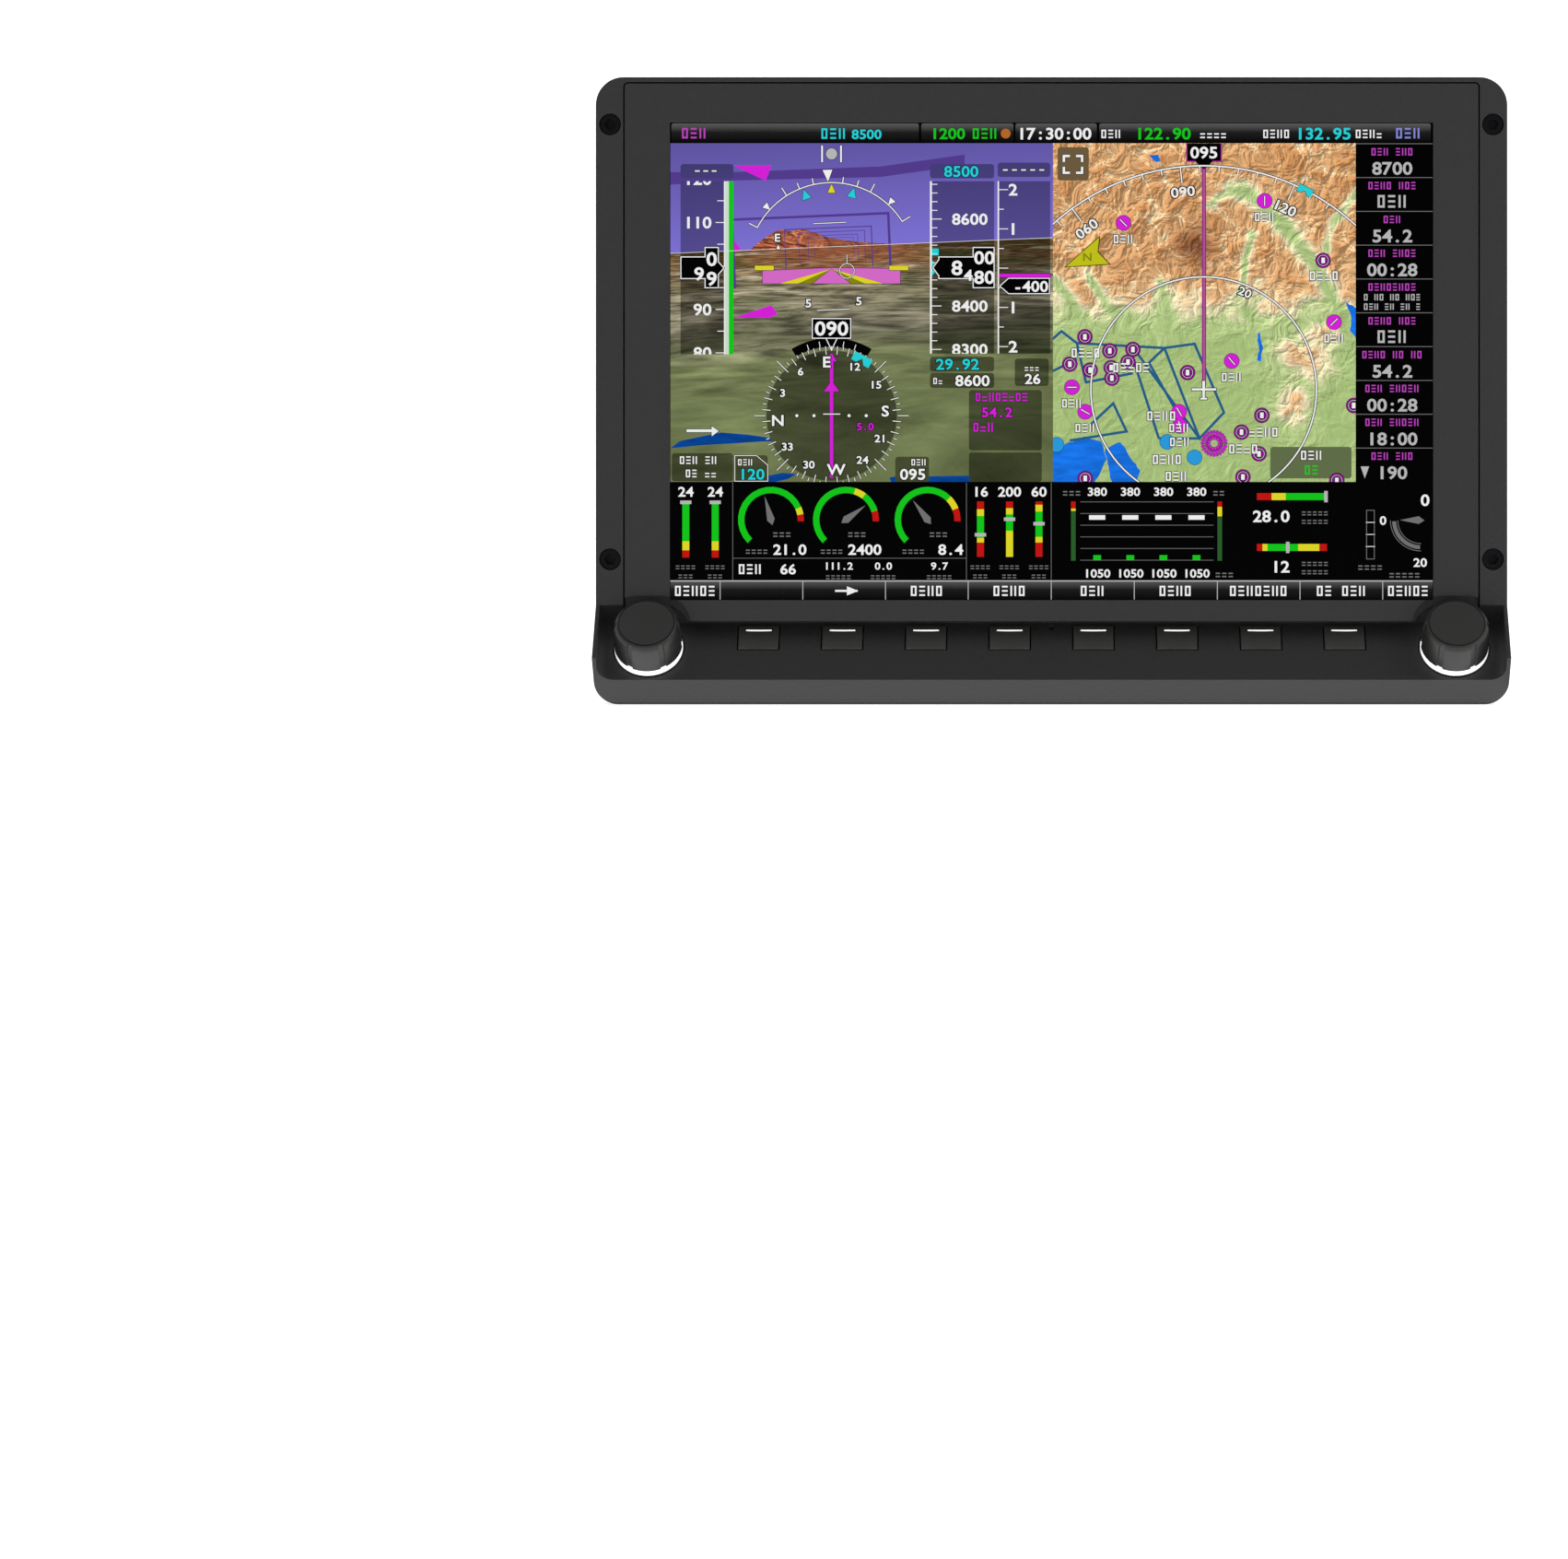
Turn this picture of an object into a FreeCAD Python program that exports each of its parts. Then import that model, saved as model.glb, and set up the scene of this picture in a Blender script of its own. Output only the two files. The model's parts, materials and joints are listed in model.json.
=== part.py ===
"""A panel-mounted flight display with eight keys and two tilting knobs, in millimetres.

Frame: X to the right, Y back into the instrument panel, Z up. The origin is the centre of the
four mounting screws, on the rear mounting face of the bezel.
"""
import FreeCAD
import Part
import math
import os
import Sketcher

V = FreeCAD.Vector
Rotation = FreeCAD.Rotation
Placement = FreeCAD.Placement

doc = FreeCAD.newDocument("panel_display")
sheet = doc.addObject("Spreadsheet::Sheet", "dims")
parts = []

DIMENSIONS = {
    # bezel
    "bezel_width": 260.26,
    "bezel_top": 75.6,
    "bezel_depth": 14.0,
    "top_corner": 8.0,
    "bottom_corner": 6.6,
    "front_edge": 0.5,
    # ledge: a trough with its own tilted frame, whose floor is the plane w = 0
    "slope": 40.0,
    "rim_start": -75.1,
    "rim_forward": 12.13,
    "lip_forward": 0.5,
    "floor_depth": 8.3,
    "floor_skin": 3.4,
    "cheek_wall": 1.2,
    "cheek_fillet": 4.5,
    "wall_to_knob": 9.34,
    "cavity_width": 251.0,
    "cavity_top": -79.0,
    "lip_skin": 2.6,
    "cover_width": 258.2,
    "cover_top": -78.0,
    "cover_bottom": -102.1,
    "cover_corner": 5.0,
    "cover_thick": 2.0,
    "cover_gap": 0.1,
    "ribbon_slot_width": 32.0,
    "ribbon_slot_depth": 2.4,
    # screen and inner panel
    "screen_width": 217.55,
    "screen_height": 135.97,
    "screen_middle": -5.55,
    "window_gap": 0.15,
    "panel_width": 243.6,
    "panel_top": 73.7,
    "panel_bottom": -79.7,
    "panel_thick": 3.0,
    "panel_corner": 1.0,
    "seam": 0.45,
    "web": 1.3,
    "glass_recess": 0.2,
    "glass_thick": 1.8,
    "glass_corner": 1.4,
    "cell_thick": 1.9,
    "lcd_width": 227.2,
    "lcd_top": 66.0,
    "lcd_bottom": -76.0,
    "lcd_thick": 4.5,
    "backlight_thick": 3.3,
    "backlight_inset": 0.8,
    "display_bay_gap": 0.2,
    # knobs
    "knob_spread": 229.8,
    "knob_radius": 9.3,
    "knob_low": 2.2,
    "knob_high": 12.1,
    "knob_skirt": 8.0,
    "knob_roof": 9.6,
    "knob_boss": 3.2,
    "boss_low": 6.05,
    "cap_radius": 8.35,
    "cap_groove": 0.35,
    "cap_rise": 0.15,
    "cap_bevel": 0.45,
    "grip_width": 1.6,
    "grip_deep": 0.35,
    "ring_radius": 9.73,
    "ring_inner": 7.2,
    "well_radius": 10.45,
    "well_depth": 2.2,
    "well_bevel": 0.3,
    "notch_half": 11.85,
    "notch_top": -72.5,
    "notch_depth": 1.8,
    "notch_deep_top": -75.2,
    "notch_corner": 8.2,
    # joystick inside each knob, along the knob's axis from the floor plane
    "pivot_height": -1.5,
    "housing_radius": 6.2,
    "housing_inner": 5.6,
    "housing_top": 0.8,
    "housing_base": 0.4,
    "housing_window": 3.0,
    "housing_hole": 6.5,
    "rocker_radius": 5.2,
    "rocker_inner": 4.3,
    "rocker_half": 1.0,
    "trunnion": 0.55,
    "trunnion_hole": 0.6,
    "trunnion_reach": 6.1,
    "hub_radius": 3.7,
    "hub_low": -3.0,
    "hub_high": 1.2,
    "hub_reach": 5.1,
    "sleeve_radius": 2.5,
    "sleeve_bore": 2.55,
    "sleeve_low": -3.4,
    "sleeve_high": 6.0,
    "shaft_radius": 1.5,
    "shaft_bore": 1.55,
    "shaft_flange": 2.3,
    "shaft_low": -4.05,
    "shaft_collar": -3.45,
    # keys
    "key_pitch": 23.93,
    "key_opening": 12.2,
    "key_opening_low": -0.55,
    "key_opening_high": 8.2,
    "key_width": 11.5,
    "key_low": -0.3,
    "key_high": 7.9,
    "key_proud": 0.5,
    "key_dish": 0.2,
    "key_dish_radius": 60.0,
    "key_edge": 0.35,
    "key_flange_gap": 0.05,
    "key_flange": 0.6,
    "key_flange_side": 0.8,
    "key_stem": 2.0,
    "key_stem_low": -4.15,
    "marker_width": 7.3,
    "marker_high": 0.6,
    "marker_middle": 6.3,
    "marker_deep": 0.8,
    # light sensor
    "sensor_hole": 0.8,
    "sensor_height": 7.5,
    "sensor_low": -4.9,
    # control board behind the ledge
    "board_top": -5.5,
    "board_thick": 1.6,
    "board_width": 248.0,
    "board_low": -8.6,
    "board_high": 8.6,
    "boss_up": 4.0,
    "boss_radius": 2.2,
    "switch_radius": 1.2,
    "switch_tall": 0.3,
    "membrane_thick": 0.5,
    "membrane_width": 186.0,
    "membrane_low": -1.2,
    "membrane_high": 6.6,
    # mounting screws
    "screw_across": 252.0,
    "screw_up": 124.1,
    "screw_head": 5.74,
    "screw_head_tall": 3.5,
    "screw_shank": 3.5,
    "screw_neck": 3.0,
    "screw_clearance": 3.8,
    "screw_reach": 9.0,
    "screw_socket": 2.78,
    "screw_socket_deep": 1.9,
    "counterbore": 6.2,
    "counterbore_deep": 4.0,
    # rear housing
    "housing_width": 240.0,
    "housing_top_z": 71.0,
    "housing_bottom_z": -75.5,
    "housing_depth": 52.0,
    "housing_wall": 1.5,
    "housing_corner": 3.0,
    "seat_deep": 0.5,
    "seat_gap": 0.3,
    "vent_width": 2.0,
    "vent_pitch": 6.0,
    "vent_front": 16.0,
    "vent_back": 40.0,
    "spoke_width": 2.4,
    "tray_gap": 0.1,
    "tray_thick": 1.2,
    "tray_rim": 9.0,
    "tray_notch": 34.0,
    "tray_notch_top": -69.0,
    # electronics
    "main_board_width": 190.0,
    "main_board_low": -56.0,
    "main_board_high": 48.0,
    "main_board_front": 14.0,
    "main_board_thick": 1.6,
    "processor_size": 24.0,
    "memory_width": 11.0,
    "memory_height": 14.0,
    "memory_x": 32.0,
    "memory_z": -18.0,
    "memory_pitch": 15.0,
    "regulator_size": 9.0,
    "regulator_x": -80.0,
    "regulator_z": -32.0,
    "regulator_pitch": 14.0,
    "chip_tall": 2.0,
    "ribbon_thick": 0.2,
    "standoff_radius": 2.6,
    "small_screw": 1.0,
    "small_head": 1.75,
    "small_head_tall": 1.3,
    "chassis_screw_long": 4.2,
    "control_screw_long": 4.4,
    "jack_screw_corner": 2.5,
    "jack_screw_tail": 4.0,
    "post_thread": 8.0,
    "tapped_deep": 4.7,
    "sink_width": 80.0,
    "sink_height": 56.0,
    "sink_x": -30.0,
    "sink_z": 12.0,
    "sink_base": 3.0,
    "sink_fin": 12.0,
    "sink_fin_thick": 1.2,
    "sink_fin_pitch": 5.2,
    # fan
    "fan_size": 40.0,
    "fan_thick": 10.0,
    "fan_base": 1.2,
    "fan_axle": 0.95,
    "fan_axle_gap": 0.05,
    "fan_x": 70.0,
    "fan_z": 22.0,
    "fan_bore": 18.8,
    "fan_tip": 18.2,
    "fan_hub": 9.0,
    "fan_blade_thick": 0.8,
    "fan_blade_pitch": 35.0,
    "fan_blades": 7,
    "fan_hole_pitch": 32.0,
    # connectors on the rear wall
    "connector_z": -42.0,
    "main_connector_x": -62.0,
    "main_connector_width": 69.3,
    "small_connector_width": 30.8,
    "connector_height": 12.5,
    "shell_height": 8.4,
    "shell_side": 7.0,
    "small_connector_x": 8.0,
    "small_connector_pitch": 38.0,
    "connector_flange": 1.0,
    "connector_out": 6.0,
    "connector_in": 9.0,
    "shell_wall": 0.6,
    "shell_slant": 1.5,
    "insulator_gap": 1.5,
    "insulator_sunk": 1.0,
    "socket_deep": 14.0,
    "socket_stand": 0.6,
    "socket_floor": 3.0,
    "usb_x": -96.0,
    "usb_z": 44.0,
    "usb_width": 14.5,
    "usb_height": 7.0,
    "usb_wall": 0.8,
    "usb_tongue_inset": 1.5,
    "usb_tongue_thick": 1.8,
    "usb_tongue_up": 1.2,
    "usb_tongue_sunk": 1.0,
    "usb_pitch": 18.0,
    "network_x": -56.0,
    "network_width": 16.0,
    "network_height": 13.5,
    "network_opening_width": 11.8,
    "network_opening_height": 8.0,
    "antenna_x": 98.0,
    "antenna_radius": 6.4,
}

# Points of the side view that follow from the driving dimensions.
HALF_WIDTH = "dims.bezel_width / 2"
FRONT = "-dims.bezel_depth"
RIM_Y = "-dims.bezel_depth - dims.rim_forward"
RIM_Z = "dims.rim_start - dims.rim_forward / tan(dims.slope)"
LIP_Y = "-dims.bezel_depth - dims.lip_forward"
LIP_Z = "dims.rim_start - (2 * dims.rim_forward - dims.lip_forward) / tan(dims.slope)"
LEDGE_Y = ("-dims.bezel_depth + dims.floor_depth * cos(dims.slope)"
           " - dims.wall_to_knob * sin(dims.slope)")
LEDGE_Z = ("dims.rim_start - dims.floor_depth * sin(dims.slope)"
           " - dims.wall_to_knob * cos(dims.slope)")
SCREEN_TOP = "dims.screen_middle + dims.screen_height / 2"
SCREEN_BOTTOM = "dims.screen_middle - dims.screen_height / 2"
PANEL_BACK = "-dims.bezel_depth + dims.panel_thick"
LCD_FRONT = "-dims.bezel_depth + dims.panel_thick + dims.web"
LCD_BACK = LCD_FRONT + " + dims.lcd_thick"
INNER_WIDTH = "dims.housing_width / 2 - dims.housing_wall"
REAR_WALL = "dims.housing_depth - dims.housing_wall"
BOARD_BACK = "dims.main_board_front + dims.main_board_thick"

CARRIER_SCREWS = [(side * 116.4, up) for side in (-1, 1) for up in (-58.0, 0.0, 56.0)]
STANDOFFS = [(across, up) for across in (-88.0, 0.0, 88.0) for up in (-50.0, 42.0)]
SIDE_SCREW_X = (-90.0, 0.0, 90.0)
COVER_SCREWS = [(side * 127.0, up) for side in (-1, 1) for up in (-95.0, -84.0)]
CONTROL_SCREW_X = (-95.7, -47.86, 47.86, 95.7)
KEYS = range(1, 9)
SIDES = {"left": -1, "right": 1}


def fill_sheet():
    """Write every driving dimension as a plain number with an alias."""
    for row, (alias, number_value) in enumerate(DIMENSIONS.items(), start=1):
        sheet.set(f"A{row}", alias)
        sheet.set(f"B{row}", str(number_value))
        sheet.setAlias(f"B{row}", alias)
    doc.recompute()


def number(formula):
    """Value of a formula of the sheet's aliases."""
    return float(sheet.evalExpression(str(formula)))


def minus(formula):
    return f"-({formula})"


# ---------------------------------------------------------------- sketch helpers
def new_body(name):
    body = doc.addObject("PartDesign::Body", name)
    body.Label = name
    parts.append(body)
    return body


def origin_feature(body, role):
    return next(item for item in body.Origin.OriginFeatures if item.Role == role)


def new_sketch(body, name, plane, height="0", tilted=False):
    """A sketch on an origin plane, moved along its normal, or on the ledge's tilted plane."""
    sketch = body.newObject("Sketcher::SketchObject", f"{body.Name}_{name}")
    sketch.AttachmentSupport = [(origin_feature(body, plane), "")]
    sketch.MapMode = "FlatFace"
    if tilted:
        turn = Rotation(V(1, 0, 0), -number("dims.slope"))
        sketch.AttachmentOffset = Placement(V(0, 0, 0), turn)
        sketch.setExpression("AttachmentOffset.Rotation.Angle", "-dims.slope")
        sketch.setExpression("AttachmentOffset.Base.y",
                             f"{LEDGE_Z} + ({height}) * sin(dims.slope)")
        sketch.setExpression("AttachmentOffset.Base.z",
                             f"-({LEDGE_Y}) + ({height}) * cos(dims.slope)")
    else:
        sketch.setExpression("AttachmentOffset.Base.z", str(height))
    return sketch


def bind(sketch, kind, formula, *where):
    """A sketch constraint whose value is a formula of the sheet."""
    index = sketch.addConstraint(Sketcher.Constraint(kind, *where, number(formula)))
    sketch.setExpression(f"Constraints[{index}]", str(formula))


def pin_point(sketch, geometry, point, across, up):
    bind(sketch, "DistanceX", across, -1, 1, geometry, point)
    bind(sketch, "DistanceY", up, -1, 1, geometry, point)


def polygon(sketch, corners):
    """A closed outline of straight lines through (across, up) formulas."""
    points = [V(number(across), number(up), 0) for across, up in corners]
    lines = []
    for index, start in enumerate(points):
        end = points[(index + 1) % len(points)]
        lines.append(sketch.addGeometry(Part.LineSegment(start, end), False))
    for index, line in enumerate(lines):
        following = lines[(index + 1) % len(lines)]
        sketch.addConstraint(Sketcher.Constraint("Coincident", line, 2, following, 1))
        pin_point(sketch, line, 1, *corners[index])


def rectangle(sketch, left, bottom, right, top):
    polygon(sketch, [(left, bottom), (right, bottom), (right, top), (left, top)])


def centred_rectangle(sketch, width, height, across="0", up="0"):
    rectangle(sketch, f"{across} - ({width}) / 2", f"{up} - ({height}) / 2",
              f"{across} + ({width}) / 2", f"{up} + ({height}) / 2")


def rounded_rectangle(sketch, left, bottom, right, top, radius):
    """Four lines joined by four tangent quarter circles."""
    low_x, high_x = f"({left}) + ({radius})", f"({right}) - ({radius})"
    low_y, high_y = f"({bottom}) + ({radius})", f"({top}) - ({radius})"
    centres = [(low_x, low_y), (high_x, low_y), (high_x, high_y), (low_x, high_y)]
    size = number(radius)
    arcs = []
    for turn, (across, up) in enumerate(centres, start=2):
        centre = V(number(across), number(up), 0)
        whole = Part.Circle(centre, V(0, 0, 1), size)
        start = turn * math.pi / 2
        arcs.append(sketch.addGeometry(Part.ArcOfCircle(whole, start, start + math.pi / 2)))
    for index, arc in enumerate(arcs):
        following = arcs[(index + 1) % len(arcs)]
        start = sketch.getPoint(arc, 2)
        end = sketch.getPoint(following, 1)
        line = sketch.addGeometry(Part.LineSegment(start, end), False)
        sketch.addConstraint(Sketcher.Constraint("Tangent", arc, 2, line, 1))
        sketch.addConstraint(Sketcher.Constraint("Tangent", line, 2, following, 1))
        bind(sketch, "Radius", radius, arc)
        pin_point(sketch, arc, 3, *centres[index])


def circle(sketch, radius, across="0", up="0"):
    centre = V(number(across), number(up), 0)
    shape = Part.Circle(centre, V(0, 0, 1), number(radius))
    index = sketch.addGeometry(shape, False)
    bind(sketch, "Radius", radius, index)
    pin_point(sketch, index, 3, across, up)


def check_feature(feature):
    """Stop at the first feature that FreeCAD couldn't make."""
    if {"Invalid", "Error"} & set(feature.State) or feature.Shape.isNull():
        raise RuntimeError(f"{feature.Name} failed: {feature.State}")


def pad(body, sketch, length, backwards=False, symmetric=False):
    feature = body.newObject("PartDesign::Pad", f"{sketch.Name}_pad")
    feature.Profile = sketch
    feature.setExpression("Length", str(length))
    feature.Reversed = backwards
    if symmetric:
        feature.SideType = "Symmetric"
    doc.recompute()
    check_feature(feature)
    return feature


def pocket(body, sketch, length, backwards=False, symmetric=False):
    """Cut a pocket and make sure that it takes material away."""
    before = body.Shape.Volume
    feature = body.newObject("PartDesign::Pocket", f"{sketch.Name}_pocket")
    feature.Profile = sketch
    feature.setExpression("Length", str(length))
    feature.Reversed = backwards
    if symmetric:
        feature.SideType = "Symmetric"
    doc.recompute()
    check_feature(feature)
    if body.Shape.Volume >= before - 1e-4:
        raise RuntimeError(f"{feature.Name} cuts nothing")
    return feature


def revolve(body, sketch, axis="V_Axis", cut=False):
    kind = "PartDesign::Groove" if cut else "PartDesign::Revolution"
    feature = body.newObject(kind, f"{sketch.Name}_turned")
    feature.Profile = sketch
    feature.ReferenceAxis = (sketch, [axis])
    feature.Angle = 360
    doc.recompute()
    check_feature(feature)
    return feature


def dress(body, kind, size, chosen):
    """Fillet or chamfer the edges that a test picks from the body's present shape."""
    tip = body.Tip
    names = [f"Edge{index}" for index, edge in enumerate(tip.Shape.Edges, start=1)
             if chosen(edge)]
    if not names:
        raise RuntimeError(f"{body.Label}: no edge to {kind.lower()}")
    feature = body.newObject(f"PartDesign::{kind}", f"{body.Name}_{kind}_{len(body.Group)}")
    feature.Base = (tip, names)
    feature.setExpression("Radius" if kind == "Fillet" else "Size", str(size))
    doc.recompute()
    check_feature(feature)
    return feature


def close(value, wanted, slack=0.02):
    return abs(value - wanted) < slack


def edge_middle(edge):
    return edge.CenterOfMass


def along(edge, direction):
    """True for a straight edge parallel to a direction."""
    if edge.Curve.TypeId != "Part::GeomLine":
        return False
    return abs(abs(edge.Curve.Direction.dot(direction)) - 1) < 1e-6


def ledge_heights(point):
    """Distances of a point up the ledge floor and out of it, from the knobs' base line."""
    angle = math.radians(number("dims.slope"))
    back = point.y - number(LEDGE_Y)
    up = point.z - number(LEDGE_Z)
    return (back * math.sin(angle) + up * math.cos(angle),
            up * math.sin(angle) - back * math.cos(angle))


def up_slope():
    angle = math.radians(number("dims.slope"))
    return V(0, math.sin(angle), math.cos(angle))


# ---------------------------------------------------------------- bezel and inner panel
def make_bezel():
    """Cast frame: a slab whose lower part swells forward into the ledge and its lip."""
    body = new_body("bezel")
    profile = new_sketch(body, "profile", "YZ_Plane")
    polygon(profile, [("0", "dims.bezel_top"), (FRONT, "dims.bezel_top"),
                      (FRONT, "dims.rim_start"), (RIM_Y, RIM_Z), (LIP_Y, LIP_Z), ("0", LIP_Z)])
    pad(body, profile, "dims.bezel_width", symmetric=True)
    round_bezel_corners(body)
    cut_trough(body)
    cut_display_bay(body)
    cut_knob_wells(body)
    cut_ledge_cavity(body)
    cut_key_openings(body)
    cut_screw_holes(body)
    add_board_bosses(body)
    cut_housing_seat(body)


def round_bezel_corners(body):
    top = number("dims.bezel_top")
    bottom = number(LIP_Z)
    dress(body, "Fillet", "dims.top_corner",
          lambda edge: along(edge, V(0, 1, 0)) and close(edge_middle(edge).z, top))
    dress(body, "Fillet", "dims.bottom_corner",
          lambda edge: along(edge, V(0, 1, 0)) and close(edge_middle(edge).z, bottom))
    front = number(FRONT)
    half = number(HALF_WIDTH)
    dress(body, "Fillet", "dims.front_edge",
          lambda edge: close(edge.BoundBox.YMax, front) and close(edge.BoundBox.YMin, front)
          and edge_middle(edge).z > number("dims.rim_start") + 1
          or close(abs(edge_middle(edge).x), half) and edge_middle(edge).y < front - 0.5)


def cut_trough(body):
    """The sloped channel between thin cheeks, rounded where its floor meets them."""
    inner = f"({HALF_WIDTH} - dims.cheek_wall)"
    sketch = new_sketch(body, "trough", "XZ_Plane", tilted=True)
    rectangle(sketch, "-" + inner, "-dims.bezel_width / 6", inner, "dims.wall_to_knob")
    pocket(body, sketch, "dims.bezel_width / 4", backwards=True)
    inner_x = number(inner)

    def foot_of_cheek(edge):
        middle = edge_middle(edge)
        height = ledge_heights(middle)[1]
        return along(edge, up_slope()) and close(abs(middle.x), inner_x) and close(height, 0)

    dress(body, "Fillet", "dims.cheek_fillet", foot_of_cheek)


def cut_display_bay(body):
    """The recess for the flush panel, the window behind it and the bay for the display."""
    seam_half = "(dims.panel_width / 2 + dims.seam)"
    recess = new_sketch(body, "recess", "XZ_Plane", minus(FRONT))
    foot = "dims.rim_start - dims.floor_depth * sin(dims.slope)"
    rectangle(recess, "-" + seam_half, foot, seam_half, "dims.panel_top + dims.seam")
    pocket(body, recess, "dims.panel_thick")
    corner_height = number("dims.panel_top + dims.seam")
    dress(body, "Fillet", "dims.panel_corner + dims.seam",
          lambda edge: along(edge, V(0, 1, 0)) and close(edge_middle(edge).z, corner_height)
          and close(abs(edge_middle(edge).x), number(seam_half)))

    window = new_sketch(body, "window", "XZ_Plane", minus(PANEL_BACK))
    centred_rectangle(window, "dims.screen_width + 2 * dims.window_gap",
                      "dims.screen_height + 2 * dims.window_gap", up="dims.screen_middle")
    pocket(body, window, "dims.bezel_depth")

    bay = new_sketch(body, "bay", "XZ_Plane", minus(LCD_FRONT))
    half = "(dims.lcd_width / 2 + dims.display_bay_gap)"
    rectangle(bay, "-" + half, "dims.lcd_bottom - dims.display_bay_gap",
              half, "dims.lcd_top + dims.display_bay_gap")
    pocket(body, bay, "dims.bezel_depth")


def cut_knob_wells(body):
    """Round wells square to the ledge floor, each with a hole for the joystick housing."""
    well = new_sketch(body, "well", "XZ_Plane", minus("dims.well_depth"), tilted=True)
    hole = new_sketch(body, "stem_hole", "XZ_Plane", tilted=True)
    for side in SIDES.values():
        circle(well, "dims.well_radius", f"{side} * dims.knob_spread / 2")
        circle(hole, "dims.housing_hole", f"{side} * dims.knob_spread / 2")
    pocket(body, well, "dims.bezel_depth * 2", backwards=True)
    pocket(body, hole, "dims.floor_skin * 1.5")


def cut_ledge_cavity(body):
    """Hollow behind the ledge, open at the back, with a slot for the control ribbon."""
    skin_y = f"{LEDGE_Y} + dims.floor_skin * cos(dims.slope)"
    skin_z = f"{LEDGE_Z} - dims.floor_skin * sin(dims.slope)"
    top_y = f"{skin_y} + (dims.cavity_top - ({skin_z})) * tan(dims.slope)"
    floor_z = f"{LIP_Z} + dims.lip_skin"
    # the lip's inner face runs parallel to the lip and meets the floor's inner face
    lip_y = f"{LIP_Y} + dims.lip_skin / cos(dims.slope) - dims.lip_skin * tan(dims.slope)"
    nose_z = f"(({skin_z}) + ({floor_z})) / 2 + (({lip_y}) - ({skin_y})) / tan(dims.slope) / 2"
    nose_y = f"{skin_y} - (({skin_z}) - ({nose_z})) * tan(dims.slope)"
    profile = new_sketch(body, "cavity", "YZ_Plane")
    polygon(profile, [("0", "dims.cavity_top"), (top_y, "dims.cavity_top"), (nose_y, nose_z),
                      (lip_y, floor_z), ("0", floor_z)])
    pocket(body, profile, "dims.cavity_width", symmetric=True)

    recess = new_sketch(body, "cover_recess", "XZ_Plane", "0")
    rounded_rectangle(recess, "-dims.cover_width / 2", "dims.cover_bottom",
                      "dims.cover_width / 2", "dims.cover_top", "dims.cover_corner")
    pocket(body, recess, "dims.cover_thick", backwards=True)

    slot = new_sketch(body, "ribbon_slot", "XZ_Plane", "0")
    rectangle(slot, "-dims.ribbon_slot_width / 2", "dims.cavity_top - 1",
              "dims.ribbon_slot_width / 2", "dims.lcd_bottom + 1")
    pocket(body, slot, "dims.ribbon_slot_depth", backwards=True)


def cut_key_openings(body):
    """Eight openings in a row along the ledge floor, and the light sensor's hole."""
    opening = new_sketch(body, "key_opening", "XZ_Plane", tilted=True)
    first = "-3.5 * dims.key_pitch"
    rectangle(opening, f"{first} - dims.key_opening / 2", "dims.key_opening_low",
              f"{first} + dims.key_opening / 2", "dims.key_opening_high")
    first_cut = pocket(body, opening, "dims.floor_skin * 1.5")
    row = body.newObject("PartDesign::LinearPattern", "bezel_key_row")
    row.Originals = [first_cut]
    row.Direction = (opening, ["H_Axis"])
    row.setExpression("Length", "7 * dims.key_pitch")
    row.Occurrences = 8
    body.Tip = row
    doc.recompute()

    sensor = new_sketch(body, "sensor_hole", "XZ_Plane", tilted=True)
    circle(sensor, "dims.sensor_hole", up="dims.sensor_height")
    pocket(body, sensor, "dims.floor_skin * 1.5")


def cut_screw_holes(body):
    clearance = new_sketch(body, "screw_hole", "XZ_Plane", minus(FRONT))
    counterbore = new_sketch(body, "counterbore", "XZ_Plane", minus(FRONT))
    for side in (-1, 1):
        for up in (-1, 1):
            across = f"{side} * dims.screw_across / 2"
            height = f"{up} * dims.screw_up / 2"
            circle(clearance, "dims.screw_clearance / 2", across, height)
            circle(counterbore, "dims.counterbore / 2", across, height)
    pocket(body, counterbore, "dims.counterbore_deep")
    pocket(body, clearance, "dims.bezel_depth * 2")

    tapped = new_sketch(body, "tapped", "XZ_Plane", "0")
    for across, up in CARRIER_SCREWS + COVER_SCREWS:
        circle(tapped, "dims.small_screw", str(across), str(up))
    pocket(body, tapped, "dims.tapped_deep", backwards=True)


def add_board_bosses(body):
    """Bosses under the ledge floor that the control board is screwed to."""
    bosses = new_sketch(body, "bosses", "XZ_Plane", "dims.board_top", tilted=True)
    holes = new_sketch(body, "boss_holes", "XZ_Plane", "dims.board_top", tilted=True)
    for across in CONTROL_SCREW_X:
        circle(bosses, "dims.boss_radius", str(across), "dims.boss_up")
        circle(holes, "dims.small_screw", str(across), "dims.boss_up")
    pad(body, bosses, "-dims.board_top - dims.floor_skin + 0.1")
    pocket(body, holes, "-dims.board_top - dims.floor_skin / 2", backwards=True)


def cut_housing_seat(body):
    """Groove in the back that takes the housing's open edge and leaves the rim flat."""
    seat = new_sketch(body, "housing_seat", "XZ_Plane", "0")
    outer = "dims.housing_width / 2 + dims.seat_gap"
    inner = f"{INNER_WIDTH} - dims.seat_gap"
    rectangle(seat, minus(outer), "dims.housing_bottom_z - dims.seat_gap",
              outer, "dims.housing_top_z + dims.seat_gap")
    rectangle(seat, minus(inner), "dims.housing_bottom_z + dims.housing_wall + dims.seat_gap",
              inner, "dims.housing_top_z - dims.housing_wall - dims.seat_gap")
    pocket(body, seat, "dims.seat_deep", backwards=True)


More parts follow.
